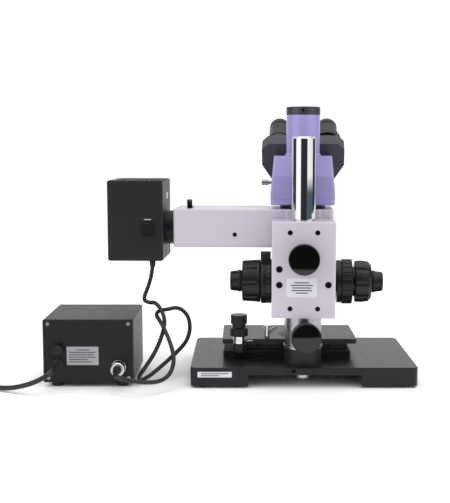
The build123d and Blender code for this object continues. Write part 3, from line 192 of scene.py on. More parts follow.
KNOB_BLACK = finish("knob_black", lin((20, 20, 23)), 0.36, vary=0.06, spec=0.35, grain=(2000, 0.2), peel=(350, 0.1), rough_vary=0.03)
WING_BLACK = finish("wing_black", lin((66, 65, 70)), 0.55, vary=0.05, spec=0.3, peel=(500, 0.2), grain=(2600, 0.2), rough_vary=0.03)
CAP_BLACK = finish("cap_anodised", lin((54, 52, 60)), 0.36, metal=0.1, vary=0.05, grain=(1400, 0.15, (1, 1, 6)), rough_vary=0.03, wear=lin((110, 110, 112)))
GLOSS_BLACK = finish("gloss_black", lin((7, 7, 8)), 0.10, vary=0.05, peel=(240, 0.04), rough_vary=0.02)
RUBBER = finish("rubber", lin((18, 18, 18)), 0.62, vary=0.08, grain=(2400, 0.5), peel=(600, 0.2))
LEAD = finish("lead_pvc", lin((16, 15, 17)), 0.40, vary=0.06, grain=(1600, 0.2), peel=(260, 0.15), rough_vary=0.03)
CHROME = finish("polished_chrome", (0.66, 0.66, 0.68), 0.03, metal=1.0, vary=0.01, grain=(1200, 0.01, (1, 1, 0.2)), rough_vary=0.01)
SATIN_CHROME = finish("satin_chrome", (0.66, 0.66, 0.67), 0.22, metal=1.0, vary=0.03, grain=(2600, 0.10, (1, 1, 5)), rough_vary=0.04)
COLLAR_METAL = finish("collar_aluminium", (0.40, 0.385, 0.415), 0.30, metal=0.95, vary=0.04, grain=(2200, 0.2, (0.3, 0.3, 8)), rough_vary=0.05)
STEEL = finish("brushed_steel", (0.34, 0.34, 0.34), 0.32, metal=1.0, vary=0.05, grain=(2200, 0.25, (6, 1, 1)), rough_vary=0.05)
# near-black screw finish: partly black oxide, partly painted shade that makes the screw holes read dark and dulls
# the stage screws' glints
SCREW_OXIDE_AND_SHADE = finish("screw_oxide", lin((14, 13, 16)), 0.42, metal=0.3, vary=0.10, grain=(1800, 0.2))
WHITE_LABEL = finish("label_white", lin((204, 202, 210)), 0.42, vary=0.01, grain=(2600, 0.05), rough_vary=0.03)
SILVER_LABEL = finish("label_silver", (0.31, 0.32, 0.33), 0.40, metal=0.2, vary=0.03, grain=(1800, 0.05, (8, 1, 1)), rough_vary=0.05)
INK = finish("label_ink", lin((62, 62, 66)), 0.5, vary=0.06)
WHITE_INK = finish("engraved_white", lin((170, 170, 168)), 0.5, vary=0.04, grain=(2400, 0.05))


def glass(name, tint, rough=0.02, trans=1.0):
    m = Mat(name)
    m.link(m.mix(m.rng(m.noise(30, 2), 0, 1), tint, [min(1, c * 1.05) for c in tint]), m.b.inputs["Base Color"])
    m.link(m.rng(m.noise(200, 2), rough, rough + 0.02), m.b.inputs["Roughness"])
    m.b.inputs["Transmission Weight"].default_value = trans
    m.b.inputs["IOR"].default_value = 1.52
    m.b.inputs["Coat Weight"].default_value = 0.5
    m.b.inputs["Coat Tint"].default_value = (0.6, 0.75, 1.0, 1)
    return m.m


LENS = glass("coated_lens", (0.05, 0.07, 0.12), trans=0.35)
CLEAR = glass("clear_glass", (0.93, 0.95, 0.95))

NODE_MATS = {
    "base_casting": BASE_PAINT, "rubber_feet": RUBBER, "column": CHROME, "column_socket": SATIN_BLACK, "column_bolt": SATIN_CHROME, "stage_base": ANODISED,
    "psu_tray": SUPPLY_PANEL, "psu_cover": SUPPLY_PAINT, "psu_screws": STEEL, "fuse_holder": KNOB_BLACK, "mains_gland": RUBBER, "lamp_outlet": SATIN_CHROME,
    "power_switch": GLOSS_BLACK, "dimmer_knob": KNOB_BLACK, "lamp_plug": SATIN_CHROME, "mains_plug": RUBBER,
    "height_collar": COLLAR_METAL, "collar_knob": GLOSS_BLACK, "focus_block": LILAC, "block_screws": SCREW_OXIDE_AND_SHADE, "block_knob": GLOSS_BLACK,
    "coarse_knobs": KNOB_BLACK, "pinion_shaft": STEEL, "fine_knobs": KNOB_BLACK, "tension_ring": KNOB_BLACK, "focus_lock_ring": KNOB_BLACK,
    "focus_slide": ANODISED, "arm_housing": LILAC, "lamp_shell": LAMP_BLACK, "lamp_cover": LAMP_BLACK, "lamp_knob": KNOB_BLACK,
    "halogen_lamp": CLEAR, "collector_lens": CLEAR, "lamp_gland": RUBBER, "aperture_lever": KNOB_BLACK, "nosepiece_mount": SATIN_BLACK,
    "turret": SATIN_CHROME, "objectives": SATIN_CHROME, "head_base": PURPLE, "head_body": PURPLE, "head_dovetail": ANODISED, "phototube": PURPLE,
    "phototube_ring": CAP_BLACK, "pull_rod": STEEL, "binocular_hub": SATIN_BLACK, "left_wing": WING_BLACK, "right_wing": WING_BLACK,
    "left_eyepiece": ANODISED, "right_eyepiece": ANODISED, "diopter_ring": ANODISED, "stage_y_plate": ANODISED, "stage_top_plate": ANODISED,
    "stage_y_knob": KNOB_BLACK, "stage_x_knob": KNOB_BLACK, "specimen_clip": SATIN_CHROME,
    "lamp_cable_upper": LEAD, "lamp_cable_middle": LEAD, "lamp_cable_lower": LEAD, "mains_cable": LEAD, "mains_coil": LEAD,
}
for name, mat in NODE_MATS.items():
    o = NODES[name]
    if not o.material_slots:
        o.data.materials.append(mat)
    for s in o.material_slots:
        s.material = mat


# ------------------------------------------------------------ mesh helpers
def make(name, bm, mats, body, smooth=True, angle=35):
    me = bpy.data.meshes.new(name)
    bmesh.ops.recalc_face_normals(bm, faces=bm.faces)
    if smooth:
        for f in bm.faces:
            f.smooth = True
        for e in bm.edges:
            if len(e.link_faces) == 2 and e.calc_face_angle(0) > math.radians(angle):
                e.smooth = False
    bm.to_mesh(me)
    bm.free()
    o = bpy.data.objects.new(name, me)
    scene.collection.objects.link(o)
    for m in (mats if isinstance(mats, (list, tuple)) else [mats]):
        me.materials.append(m)
    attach(o, body)
    return o


def lathe(bm, M, profile, steps=64, mat=0, closed=True):
    """A turned form about M's Z from (radius, height) points in millimetres."""
    rings = []
    for r, z in profile:
        if r < 1e-6:
            rings.append([bm.verts.new(M @ Vector((0, 0, z / 1000)))])
        else:
            rings.append([bm.verts.new(M @ Vector((r * math.cos(2 * math.pi * k / steps) / 1000, r * math.sin(2 * math.pi * k / steps) / 1000, z / 1000))) for k in range(steps)])
    pairs = list(zip(rings, rings[1:]))
    if closed:
        pairs.append((rings[-1], rings[0]))
    for a, b in pairs:
        if len(a) == 1 and len(b) == 1:
            continue
        for k in range(steps):
            j = (k + 1) % steps
            if len(a) == 1:
                f = bm.faces.new((a[0], b[k], b[j]))
            elif len(b) == 1:
                f = bm.faces.new((a[k], b[0], a[j]))
            else:
                f = bm.faces.new((a[k], b[k], b[j], a[j]))
            f.material_index = mat
    return rings


def plate(bm, M, w, h, t, r=2.0, mat=0, seg=6, bevel=0.25):
    """A thin rounded plate in M's XY plane, from z=0 to t, with a small edge bevel."""
    outline = []
    for cx, cy, a0 in ((w / 2 - r, h / 2 - r, 0), (-w / 2 + r, h / 2 - r, 90), (-w / 2 + r, -h / 2 + r, 180), (w / 2 - r, -h / 2 + r, 270)):
        for k in range(seg + 1):
            a = math.radians(a0 + 90 * k / seg)
            outline.append((cx, cy, math.cos(a), math.sin(a)))

    def ring(rr, z):
        return [bm.verts.new(M @ Vector(((cx + rr * ca) / 1000, (cy + rr * sa) / 1000, z / 1000))) for cx, cy, ca, sa in outline]
    b = min(bevel, t * 0.6)
    layers = [ring(r, 0), ring(r, t - b), ring(max(r - b, 0.01), t)]
    n = len(outline)
    for a, c in zip(layers, layers[1:]):
        for k in range(n):
            f = bm.faces.new((a[k], a[(k + 1) % n], c[(k + 1) % n], c[k]))
            f.material_index = mat
    for lay in (layers[0], layers[-1]):
        f = bm.faces.new(lay)
        f.material_index = mat


def prism(bm, M, pts, z0, z1, mat=0):
    """A prism of an outline in M's XY plane."""
    lo = [bm.verts.new(M @ Vector((x / 1000, y / 1000, z0 / 1000))) for x, y in pts]
    hi = [bm.verts.new(M @ Vector((x / 1000, y / 1000, z1 / 1000))) for x, y in pts]
    n = len(pts)
    for k in range(n):
        bm.faces.new((lo[k], lo[(k + 1) % n], hi[(k + 1) % n], hi[k])).material_index = mat
    bm.faces.new(lo).material_index = mat
    bm.faces.new(hi).material_index = mat


def socket_screw(bm, M, r, h, hexr, depth, mat=0, steps=32):
    """A headless or cap screw with a hexagon socket, its face at z=h."""
    ch = min(0.35, r * 0.15)
    rings = lathe(bm, M, [(r, 0), (r, h - ch), (r - ch, h)], steps, mat, closed=False)
    top = rings[-1]
    hexa = [bm.verts.new(M @ Vector((hexr * math.cos(math.pi * k / 3) / 1000, hexr * math.sin(math.pi * k / 3) / 1000, h / 1000))) for k in range(6)]
    low = [bm.verts.new(M @ Vector((hexr * math.cos(math.pi * k / 3) / 1000, hexr * math.sin(math.pi * k / 3) / 1000, (h - depth) / 1000))) for k in range(6)]
    per = steps // 6
    for k in range(6):
        a, b = hexa[k], hexa[(k + 1) % 6]
        s0, s1 = round(k * steps / 6), round((k + 1) * steps / 6)
        arc = [top[i % steps] for i in range(s0, s1 + 1)]
        bm.faces.new([a] + arc + [b]).material_index = mat
        bm.faces.new((a, b, low[(k + 1) % 6], low[k])).material_index = mat
    bm.faces.new(low).material_index = mat
    bm.faces.new(rings[0]).material_index = mat


LAMP_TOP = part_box("lamp_shell")[1][2] * 1000
KNOB_X = ((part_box("stage_y_knob")[0][0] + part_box("stage_y_knob")[1][0]) / 2 - COLX) * 1000
KNOB_Y = ((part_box("stage_y_knob")[0][1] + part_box("stage_y_knob")[1][1]) / 2 - COLY) * 1000


def back_face(y, x, z, F=None):
    """A frame on a surface that faces the rear: X to the right, Y up, Z out to the rear."""
    return (F or SWUNG) @ T(x, y, z) @ R(90, 'X')


# ------------------------------------------------------------------- leads
def mm(points):
    """Route points about the pillar's foot, in metres in the row's frame."""
    return [(x / 1000 + COLX, y / 1000 + COLY, z / 1000) for x, y, z in points]


def lead_curve(name, points, radius):
    cu = bpy.data.curves.new(name, 'CURVE')
    cu.dimensions = '3D'
    sp = cu.splines.new('NURBS')
    sp.points.add(len(points) - 1)
    for q, p in zip(sp.points, points):
        q.co = (*p, 1)
    sp.order_u = 3
    sp.use_endpoint_u = True
    sp.resolution_u = 8
    cu.bevel_depth = radius
    cu.bevel_resolution = 5
    cu.use_fill_caps = True
    o = bpy.data.objects.new(name, cu)
    scene.collection.objects.link(o)
    return o


def lead(name, points, radius, body, mat):
    """A lead that moves with one body: the route's own spline."""
    o = lead_curve(name, points, radius)
    o.data.materials.append(mat)
    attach(o, body)
    return o


def bending_lead(name, points, radius, mat):
    """A lead that crosses a joint: a tube along the route's spline, and the points that it follows."""
    made = []
    for r in (0.0, radius):
        o = lead_curve(name + "_route", points, r)
        bpy.context.view_layer.update()
        me = bpy.data.meshes.new_from_object(o.evaluated_get(bpy.context.evaluated_depsgraph_get()))
        cu = o.data
        bpy.data.objects.remove(o)
        bpy.data.curves.remove(cu)
        made.append(me)
    path = [tuple(v.co) for v in made[0].vertices]
    bpy.data.meshes.remove(made[0])
    me = made[1]
    me.name = name
    me.materials.clear()
    me.materials.append(mat)
    for p in me.polygons:
        p.use_smooth = True
    o = bpy.data.objects.new(name, me)
    scene.collection.objects.link(o)
    return o, path


_g = R(-2.3, 'Z') @ Vector((-206.2, 30.2, 0))
GX, GY = round(_g.x, 2), round(_g.y, 2)
PANEL = -33.2
FOLD = (-214.5, 35.62, 115.1)
LOW = (-213.4, -23.5, 19.8)


def beyond(a, b, further):
    step = (Vector(b) - Vector(a)).normalized() * further
    return tuple(Vector(b) + step)


UPPER = [(GX, GY, 158.0), (GX, GY, 138.0), FOLD]
MIDDLE = [
    FOLD, beyond((GX, GY, 138.0), FOLD, 10.0), (-210.0, 32.2, 101.8), (-201.2, 27.2, 103.4), (-194.2, 21.0, 97.6), (-189.0, 15.4, 89.4), (-186.2, 9.6, 79.0),
    (-188.6, 3, 66.0), (-194.4, -6, 49.8), (-202.2, -14.2, 35.0), LOW,
]
LOWER = [
    LOW, beyond((-202.2, -14.2, 35.0), LOW, 8.0), (-219.3, -22.6, 8.0), (-214.6, -15.2, 5.4), (-205.2, -5.0, 9.0),
    (-194.0, 5.2, 16.8), (-181.8, 13, 26.4), (-168.9, 20, 37.6), (-157.6, 24.5, 50.0),
    (-152.9, 26, 65.5), (-154.5, 26.2, 81.5), (-161.8, 25.6, 92.4), (-172.1, 25.2, 96.9), (-183.7, 27.0, 93.4), (-194.8, 28.6, 92.2),
    (-199.8, 17.4, 88.4), (-191.5, 1.0, 81.4), (-183.0, -8, 67.4), (-175.9, -19, 53.0), (-171.3, -31, 39.0),
    (-172.6, -42.5, 27.0), (-178.6, -55.5, 18.6), (-189.0, -68.5, 15.9), (-201.5, -79, 17.5), (-214.5, -86, 20.4), (-227.5, -88.5, 23.4),
    (-237.6, -86.5, 26.0), (-244.0, -78.6, 27.4), (-244.0, PANEL - 34, 27.4),
]
COIL = (-461.0, -30.0)
MAINS = [
    (-323.6, PANEL - 22, 31.3), (-323.6, PANEL - 33, 31.3), (-326.5, -76.5, 28.4), (-335.5, -79.8, 23.0), (-347.5, -78.2, 17.0),
    (-361.5, -71.8, 11.5), (-378.0, -62.8, 6.4), (-398.0, -52.7, 3.7),
]
TURNS, PER = 6, 16
for k in range(TURNS * PER + 1):
    turn = k / PER
    a = 2 * math.pi * turn
    # inwards along the floor, one step up, outwards on top
    if turn <= TURNS / 2:
        r, z = 41.9 - 6.55 * min(turn, 2.6) * 0.78, 3.35
    else:
        r, z = 41.9 - 6.55 * 2.6 * 0.78 + 6.55 * (turn - 3.0) * 0.72, 9.95
    if 2.6 < turn < 3.2:
        z = 3.35 + 6.6 * (turn - 2.6) / 0.6
    MAINS.append((COIL[0] + r * math.cos(a), COIL[1] + r * math.sin(a), z))
MAINS += [(-419.5, -17.0, 10.6), (-422.6, -2.0, 12.8), (-426.0, 14.0, 15.6), (-431.0, 28.5, 17.6), (-438.0, 39.6, 18.5), (-445.0, 40.0, 18.5)]


def total(pts):
    return sum((Vector(b) - Vector(a)).length for a, b in zip(pts, pts[1:]))


upper, upper_path = bending_lead("lamp_lead_upper", mm(UPPER), 0.00275, LEAD)
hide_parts("lamp_cable_upper")
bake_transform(upper)
middle, middle_path = bending_lead("lamp_lead_middle", mm(MIDDLE), 0.00275, LEAD)
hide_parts("lamp_cable_middle")
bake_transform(middle)
lower, lower_path = bending_lead("lamp_lead_lower", mm(LOWER), 0.00275, LEAD)
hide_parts("lamp_cable_lower")
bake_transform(lower)
mains = lead("mains_lead", mm(MAINS), 0.00325, "stand", LEAD)
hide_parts("mains_cable", "mains_coil")
print("route lengths", [round(total(p), 1) for p in (UPPER, MIDDLE, LOWER, MAINS)])

# ------------------------------------------------------------------ camera
PITCH = 6.474
cam_data = bpy.data.cameras.new("camera")
cam_data.sensor_width = 36.0
cam_data.sensor_fit = 'AUTO'
cam_data.lens = 69.71
cam_data.shift_x = -0.0366
cam_data.clip_end = 50
cam = bpy.data.objects.new("camera", cam_data)
scene.collection.objects.link(cam)
cam.location = (COLX - 0.07998, COLY - 1.29082, 0.32288)
cam.rotation_euler = (math.radians(90 - PITCH), 0, 0)
scene.camera = cam

# ------------------------------------------------------------------- floor
bm = bmesh.new()
bmesh.ops.create_grid(bm, x_segments=24, y_segments=24, size=1)
for v in bm.verts:
    v.co = (v.co.x * 3.2, COLY - 0.475 + (v.co.y + 1) * 4.2, 0)
me = bpy.data.meshes.new("floor")
bm.to_mesh(me)
bm.free()
floor = bpy.data.objects.new("floor", me)
scene.collection.objects.link(floor)
fm = Mat("floor_white")
fm.link(fm.mix(fm.rng(fm.noise(3, 2), 0, 1), (0.94, 0.94, 0.94), (0.95, 0.95, 0.95)), fm.b.inputs["Base Color"])
fm.b.inputs["Roughness"].default_value = 0.9
fm.b.inputs["Specular IOR Level"].default_value = 0.1
me.materials.append(fm.m)

# ------------------------------------------------------------------- world
world = bpy.data.worlds.new("studio")
scene.world = world
world.use_nodes = True
wt = world.node_tree
wt.nodes.clear()
wo = wt.nodes.new("ShaderNodeOutputWorld")
bg = wt.nodes.new("ShaderNodeBackground")
tc = wt.nodes.new("ShaderNodeTexCoord")
sep = wt.nodes.new("ShaderNodeSeparateXYZ")
wt.links.new(tc.outputs["Generated"], sep.inputs[0])


def wmath(op, a, b=None, clamp=False):
    n = wt.nodes.new("ShaderNodeMath")
    n.operation = op
    n.use_clamp = clamp
    for i, v in enumerate((a, b)):
        if v is None:
            continue
        if isinstance(v, (int, float)):
            n.inputs[i].default_value = v
        else:
            wt.links.new(v, n.inputs[i])
    return n.outputs[0]


# azimuth from the photographer's side, 0 in front (-Y), 1 behind (+Y)
neg = wmath('MULTIPLY', sep.outputs[1], -1.0)
azim = wmath('ARCTAN2', sep.outputs[0], neg)
az01 = wmath('DIVIDE', wmath('ADD', azim, math.pi), 2 * math.pi)
ramp = wt.nodes.new("ShaderNodeValToRGB")
ramp.color_ramp.interpolation = 'LINEAR'
STOPS = [(-180, 1.0), (-140, 1.0), (-118, 0.06), (-84, 0.04), (-79, 1.5), (-36, 1.5), (-30, 0.045), (27, 0.036), (33, 1.4), (86, 1.15), (92, 0.03), (120, 0.06), (140, 1.0), (180, 1.0)]
els = ramp.color_ramp.elements
for i, (az, v) in enumerate(STOPS):
    p = (az + 180) / 360
    if i < 2:
        e = els[i]
        e.position = p if i == 0 else p
    else:
        e = els.new(p)
    e.color = (v, v, v, 1)
wt.links.new(az01, ramp.inputs[0])
# overhead light panel
up = wt.nodes.new("ShaderNodeMapRange")
up.inputs["From Min"].default_value = 0.55
up.inputs["From Max"].default_value = 0.75
up.inputs["To Min"].default_value = 0.0
up.inputs["To Max"].default_value = 1.0
wt.links.new(sep.outputs[2], up.inputs["Value"])
mixw = wt.nodes.new("ShaderNodeMix")
mixw.data_type = 'RGBA'
wt.links.new(up.outputs[0], mixw.inputs[0])
wt.links.new(ramp.outputs[0], mixw.inputs[6])
mixw.inputs[7].default_value = (0.95, 0.95, 0.96, 1)
# below the right-hand light, a dim bluish stretch of the room
side = wmath('MULTIPLY', wmath('GREATER_THAN', azim, math.radians(29)), wmath('LESS_THAN', azim, math.radians(92)))
low = wt.nodes.new("ShaderNodeMapRange")
for key, value in (("From Min", -0.036), ("From Max", -0.052), ("To Min", 0.0), ("To Max", 1.0)):
    low.inputs[key].default_value = value
wt.links.new(sep.outputs[2], low.inputs["Value"])
teal = wt.nodes.new("ShaderNodeMix")
teal.data_type = 'RGBA'
wt.links.new(wmath('MULTIPLY', side, low.outputs[0]), teal.inputs[0])
wt.links.new(mixw.outputs[2], teal.inputs[6])
teal.inputs[7].default_value = (0.09, 0.14, 0.19, 1)
wt.links.new(teal.outputs[2], bg.inputs[0])
bg.inputs[1].default_value = 1.0
# the same room as soft, even light: a white tent
tent = wt.nodes.new("ShaderNodeBackground")
tent.inputs[0].default_value = (1.0, 1.0, 1.0, 1)
tent.inputs[1].default_value = 1.10
world.cycles.sampling_method = 'NONE'
rays = wt.nodes.new("ShaderNodeLightPath")
both = wt.nodes.new("ShaderNodeMixShader")
wt.links.new(rays.outputs["Is Glossy Ray"], both.inputs[0])
wt.links.new(tent.outputs[0], both.inputs[1])
wt.links.new(bg.outputs[0], both.inputs[2])
wt.links.new(both.outputs[0], wo.inputs[0])


def area(name, loc, target, size, power, colour=(1, 1, 1)):
    d = bpy.data.lights.new(name, 'AREA')
    d.shape = 'RECTANGLE'
    d.size, d.size_y = size
    d.energy = power
    d.color = colour
    o = bpy.data.objects.new(name, d)
    scene.collection.objects.link(o)
    o.location = loc
    o.rotation_euler = (Vector(target) - Vector(loc)).to_track_quat('-Z', 'Y').to_euler()
    return o


area("key", (-1.5, -1.7, 1.5), (0, 0, 0.2), (1.2, 1.2), 9)
area("fill", (1.8, -1.2, 1.2), (0, 0, 0.2), (1.2, 1.2), 4)
area("top", (0.1, -0.2, 2.2), (0, 0, 0), (2.4, 2.4), 15)
scene.view_settings.view_transform = 'Standard'

# ----------------------------------------------------------------- details
def bars(bm, M, w, h, rows, mat, t0=0.4):
    """Plain printed bars of uneven length, standing for print."""
    for i, (share, start) in enumerate(rows):
        y = h / 2 - h * (i + 0.5) / len(rows)
        bw = w * share
        cx = -w / 2 + w * start + bw / 2
        plate(bm, M @ T(cx, y, t0), bw, h / len(rows) * 0.42, 0.06, r=0.2, mat=mat, seg=2, bevel=0.02)


# name plates, blank but for plain bars
bm = bmesh.new()
M = back_face(-30, -2.4, 131.8)
plate(bm, M, 40, 25.6, 0.4, r=2.6, bevel=0.12)
bars(bm, M, 32, 17, [(0.62, 0.19), (0.9, 0.05), (0.78, 0.11), (0.84, 0.08), (0.5, 0.25)], 1)
make("block_label", bm, [WHITE_LABEL, INK], "block")
bm = bmesh.new()
M = back_face(-40, -117.7, 18.4, STAND)
plate(bm, M, 45, 7.4, 0.3, r=0.8, bevel=0.1)
bars(bm, M, 40, 5.4, [(0.9, 0.05), (0.6, 0.05)], 1, 0.3)
make("base_label", bm, [WHITE_LABEL, INK], "stand")
bm = bmesh.new()
M = back_face(PANEL, -291.5, 42.0, STAND)
plate(bm, M, 42, 24.6, 0.35, r=1.2, bevel=0.1)
bars(bm, M, 36, 19, [(0.5, 0.25), (0.95, 0.02), (0.88, 0.02), (0.95, 0.02), (0.66, 0.02), (0.8, 0.02)], 1, 0.35)
make("supply_label", bm, [SILVER_LABEL, INK], "stand")
bm = bmesh.new()
plate(bm, back_face(21, -211.4, 216.8), 10.0, 1.5, 0.12, r=0.5, bevel=0.04)
make("lamp_index", bm, WHITE_INK, "carriage")
bm = bmesh.new()
plate(bm, SWUNG @ T(-190.5, 72, 247) @ R(90, 'Z') @ R(90, 'X'), 16, 9, 0.25, r=0.8, bevel=0.08)
make("lamp_side_label", bm, WHITE_LABEL, "carriage")
bm = bmesh.new()
plate(bm, HEAD @ R(0, 'Z') @ T(0, -23.1, 356.6) @ R(90, 'X'), 1.3, 2.2, 0.25, r=0.3, bevel=0.05)
make("phototube_index", bm, WHITE_INK, "head")

# set screws sunk in their holes; their near-black finish is partly painted shade, so the shallow holes read as
# deep, dark ones
bm = bmesh.new()
for x, z in ((-31.8, 155.9), (-31.8, 135.3), (32.4, 135.6)):
    socket_screw(bm, back_face(-23.2, x, z), 4.3, 3.2, 2.2, 2.2)
make("block_set_screws", bm, SCREW_OXIDE_AND_SHADE, "block")
bm = bmesh.new()
for x in (-133.4, -82.4):
    socket_screw(bm, SWUNG @ T(x, 69, 227.65), 1.95, 2.2, 1.0, 1.4)
socket_screw(bm, back_face(28.4, -92.9, 196.2), 2.95, 2.4, 1.5, 1.6)
make("arm_set_screws", bm, SCREW_OXIDE_AND_SHADE, "carriage")
bm = bmesh.new()
socket_screw(bm, back_face(-30, -14, 23.2, STAND), 2.75, 6.0, 1.5, 2.0)
make("base_set_screw", bm, SCREW_OXIDE_AND_SHADE, "stand")
# painted shade: a flat gloss-black hexagon stands in for the shaded recess of the phototube's port screw socket
bm = bmesh.new()
hexa = [(2.0 * math.cos(math.pi * k / 3), 2.0 * math.sin(math.pi * k / 3)) for k in range(6)]
prism(bm, HEAD @ T(0, -24.4, 364.4) @ R(90, 'X'), hexa, 0.0, 0.12)
make("port_screw_socket", bm, GLOSS_BLACK, "head", smooth=False)

# painted shade of the vent slots along the lamp house's rear top edge: flat near-black sheets stand in for the
# shaded slot openings
bm = bmesh.new()
for i in range(9):
    plate(bm, SWUNG @ T(-250.5 + 7.4 * i, 29.5, LAMP_TOP), 3.6, 9.0, 0.12, r=1.6, seg=5, bevel=0.03)
    plate(bm, SWUNG @ T(-250.5 + 7.4 * i, 52, LAMP_TOP), 3.6, 26.0, 0.12, r=1.6, seg=5, bevel=0.03)
make("lamp_louvres", bm, finish("louvre_dark", lin((6, 6, 7)), 0.8, vary=0.1, spec=0.1), "carriage")

# index dots round the focus lock ring
bm = bmesh.new()
for k in range(26):
    M = SWUNG @ T(-46.4, 27, 132.8) @ R(360 * k / 26, 'X') @ T(0, 0, 30.25)
    lathe(bm, M, [(0, 0.12), (0.3, 0.1), (0.5, 0.0)], 12, closed=False)
make("lock_ring_dots", bm, WHITE_INK, "focus_lock")


def knurl(bm, M, r, depth, z0, z1, count, mat=0, per=4):
    """A ribbed band: count rounded ribs, with chamfered ends."""
    n = count * per

    def ring(z, share):
        vs = []
        for k in range(n):
            a = 2 * math.pi * k / n
            rr = r + depth * share * (0.5 + 0.5 * math.cos(2 * math.pi * (k % per) / per)) ** 0.7
            vs.append(bm.verts.new(M @ Vector((rr * math.cos(a) / 1000, rr * math.sin(a) / 1000, z / 1000))))
        return vs
    b = min(0.5, (z1 - z0) / 4)
    rings = [ring(z0, 0), ring(z0 + b, 1), ring(z1 - b, 1), ring(z1, 0)]
    for a, c in zip(rings, rings[1:]):
        for k in range(n):
            bm.faces.new((a[k], a[(k + 1) % n], c[(k + 1) % n], c[k])).material_index = mat


# clamp knobs: domed faces and toothed rims
for label, F, y, z, r, body, node, count in (("block_knob", SWUNG, -62.0, 172.2, 19.6, "block_clamp", "block_knob", 52), ("collar_knob", TURNED, -54.0, 68.2, 19.2, "collar_clamp", "collar_knob", 52)):
    bm = bmesh.new()
    prof = [(r - 0.75, 0.0)] + [((r - 0.9) * math.cos(math.radians(5 * i)), 0.02 + 1.7 * (1 - math.cos(math.radians(5 * i)) ** 2)) for i in range(18)] + [(0, 1.72)]
    lathe(bm, back_face(y, 0, z, F), prof, 96, closed=False)
    make(label + "_face", bm, GLOSS_BLACK, body)
    bm = bmesh.new()
    knurl(bm, back_face(y, 0, z, F), r - 0.35, 1.15, -13.0, -0.4, count)
    make(label + "_teeth", bm, KNOB_BLACK, body, angle=50)

# ribbed grips
bm = bmesh.new()
knurl(bm, SWUNG @ T(0, 27, 132.8) @ R(90, 'Y'), 30.1, 0.55, -56.2, -50.2, 44)
make("lock_ring_ribs", bm, KNOB_BLACK, "focus_lock", angle=50)
bm = bmesh.new()
knurl(bm, NOSE, 39.02, 0.8, 6.0, 12.0, 90)
make("turret_grip", bm, KNOB_BLACK, "nosepiece", angle=50)
FOCUS = SWUNG @ T(0, 27, 132.8) @ R(90, 'Y')
bm = bmesh.new()
knurl(bm, FOCUS, 14.55, 0.35, 94.2, 97.6, 70)
make("fine_grip_right", bm, KNOB_BLACK, "fine_drive", angle=60)
bm = bmesh.new()
knurl(bm, FOCUS, 14.6, 0.35, -87.8, -84.8, 70)
make("fine_grip_left", bm, KNOB_BLACK, "fine_drive", angle=60)

# objectives: ribbed collars, colour bands and front lenses
BANDS = [lin((196, 44, 40)), lin((222, 190, 50)), lin((48, 140, 70)), lin((52, 96, 190))]
LENGTHS = ((57, 5.5), (52, 6.5), (46, 8), (38, 9))
for k, (seat, (length, nose)) in enumerate(zip(SEATS, LENGTHS)):
    bm = bmesh.new()
    knurl(bm, seat, 12.5, 0.4, -9.0, -3.0, 60, 0)
    lathe(bm, seat, [(12.5, -17.2), (12.64, -17.0), (12.64, -15.2), (12.5, -15.0)], 64, 1, closed=False)
    lathe(bm, seat, [(12.5, -13.2), (12.58, -13.1), (12.58, -12.5), (12.5, -12.4)], 64, 2, closed=False)
    lathe(bm, seat, [(nose + 0.02, -(length - 1.2)), (nose + 0.25, -(length - 1.4)), (nose + 0.25, -(length - 4.0)), (nose + 0.02, -(length - 4.2))], 48, 2, closed=False)
    make(f"objective_bands_{k + 1}", bm, [SATIN_CHROME, finish(f"band_colour_{k + 1}", BANDS[k], 0.4, vary=0.04), SATIN_BLACK], "nosepiece")
    bm = bmesh.new()
    lathe(bm, seat, [(0, -(length + 0.25)), (nose * 0.25, -(length + 0.22)), (nose * 0.48, -(length + 0.02)), (nose * 0.5, -(length - 0.05))], 32, closed=False)
    make(f"objective_lens_{k + 1}", bm, LENS, "nosepiece")

# eyepiece lenses with their retaining rings
for side, body, name in ((-1, "left_ocular", "left"), (1, "right_ocular", "right")):
    M = BINO @ T(side * 34.8, -15.3, 0)
    bm = bmesh.new()
    lathe(bm, M, [(0, 91.9), (3.5, 91.7), (6.2, 91.2), (7.9, 90.6), (7.9, 90.3)], 48, closed=False)
    make(f"{name}_eye_lens", bm, LENS, body)
    bm = bmesh.new()
    lathe(bm, M, [(7.9, 90.35), (7.9, 90.9), (8.3, 91.1), (8.6, 90.9), (8.6, 90.35)], 48)
    lathe(bm, M, [(15.0, 83.4), (15.12, 83.5), (15.12, 84.1), (15.0, 84.2)], 64, 1, closed=False)
    make(f"{name}_eye_ring", bm, [SATIN_BLACK, SCREW_OXIDE_AND_SHADE], body)

# stage: chrome lever, edge screws, engraved scale
bm = bmesh.new()
M = STAND @ T(-84, 24.9, 50.0) @ R(90, 'Y')
lathe(bm, M, [(0, 0), (1.1, 0.1), (1.5, 0.6), (1.5, 12.5), (1.1, 13.0), (1.1, 14.2), (1.5, 14.6), (1.5, 16.4), (1.2, 16.9), (0, 17.0)], 24, closed=False)
plate(bm, STAND @ T(-70, 26.2, 50.0) @ R(-90, 'X'), 5, 2.8, 1.0, r=1.0, bevel=0.2)
make("stage_lever", bm, CHROME, "stage_x")
bm = bmesh.new()
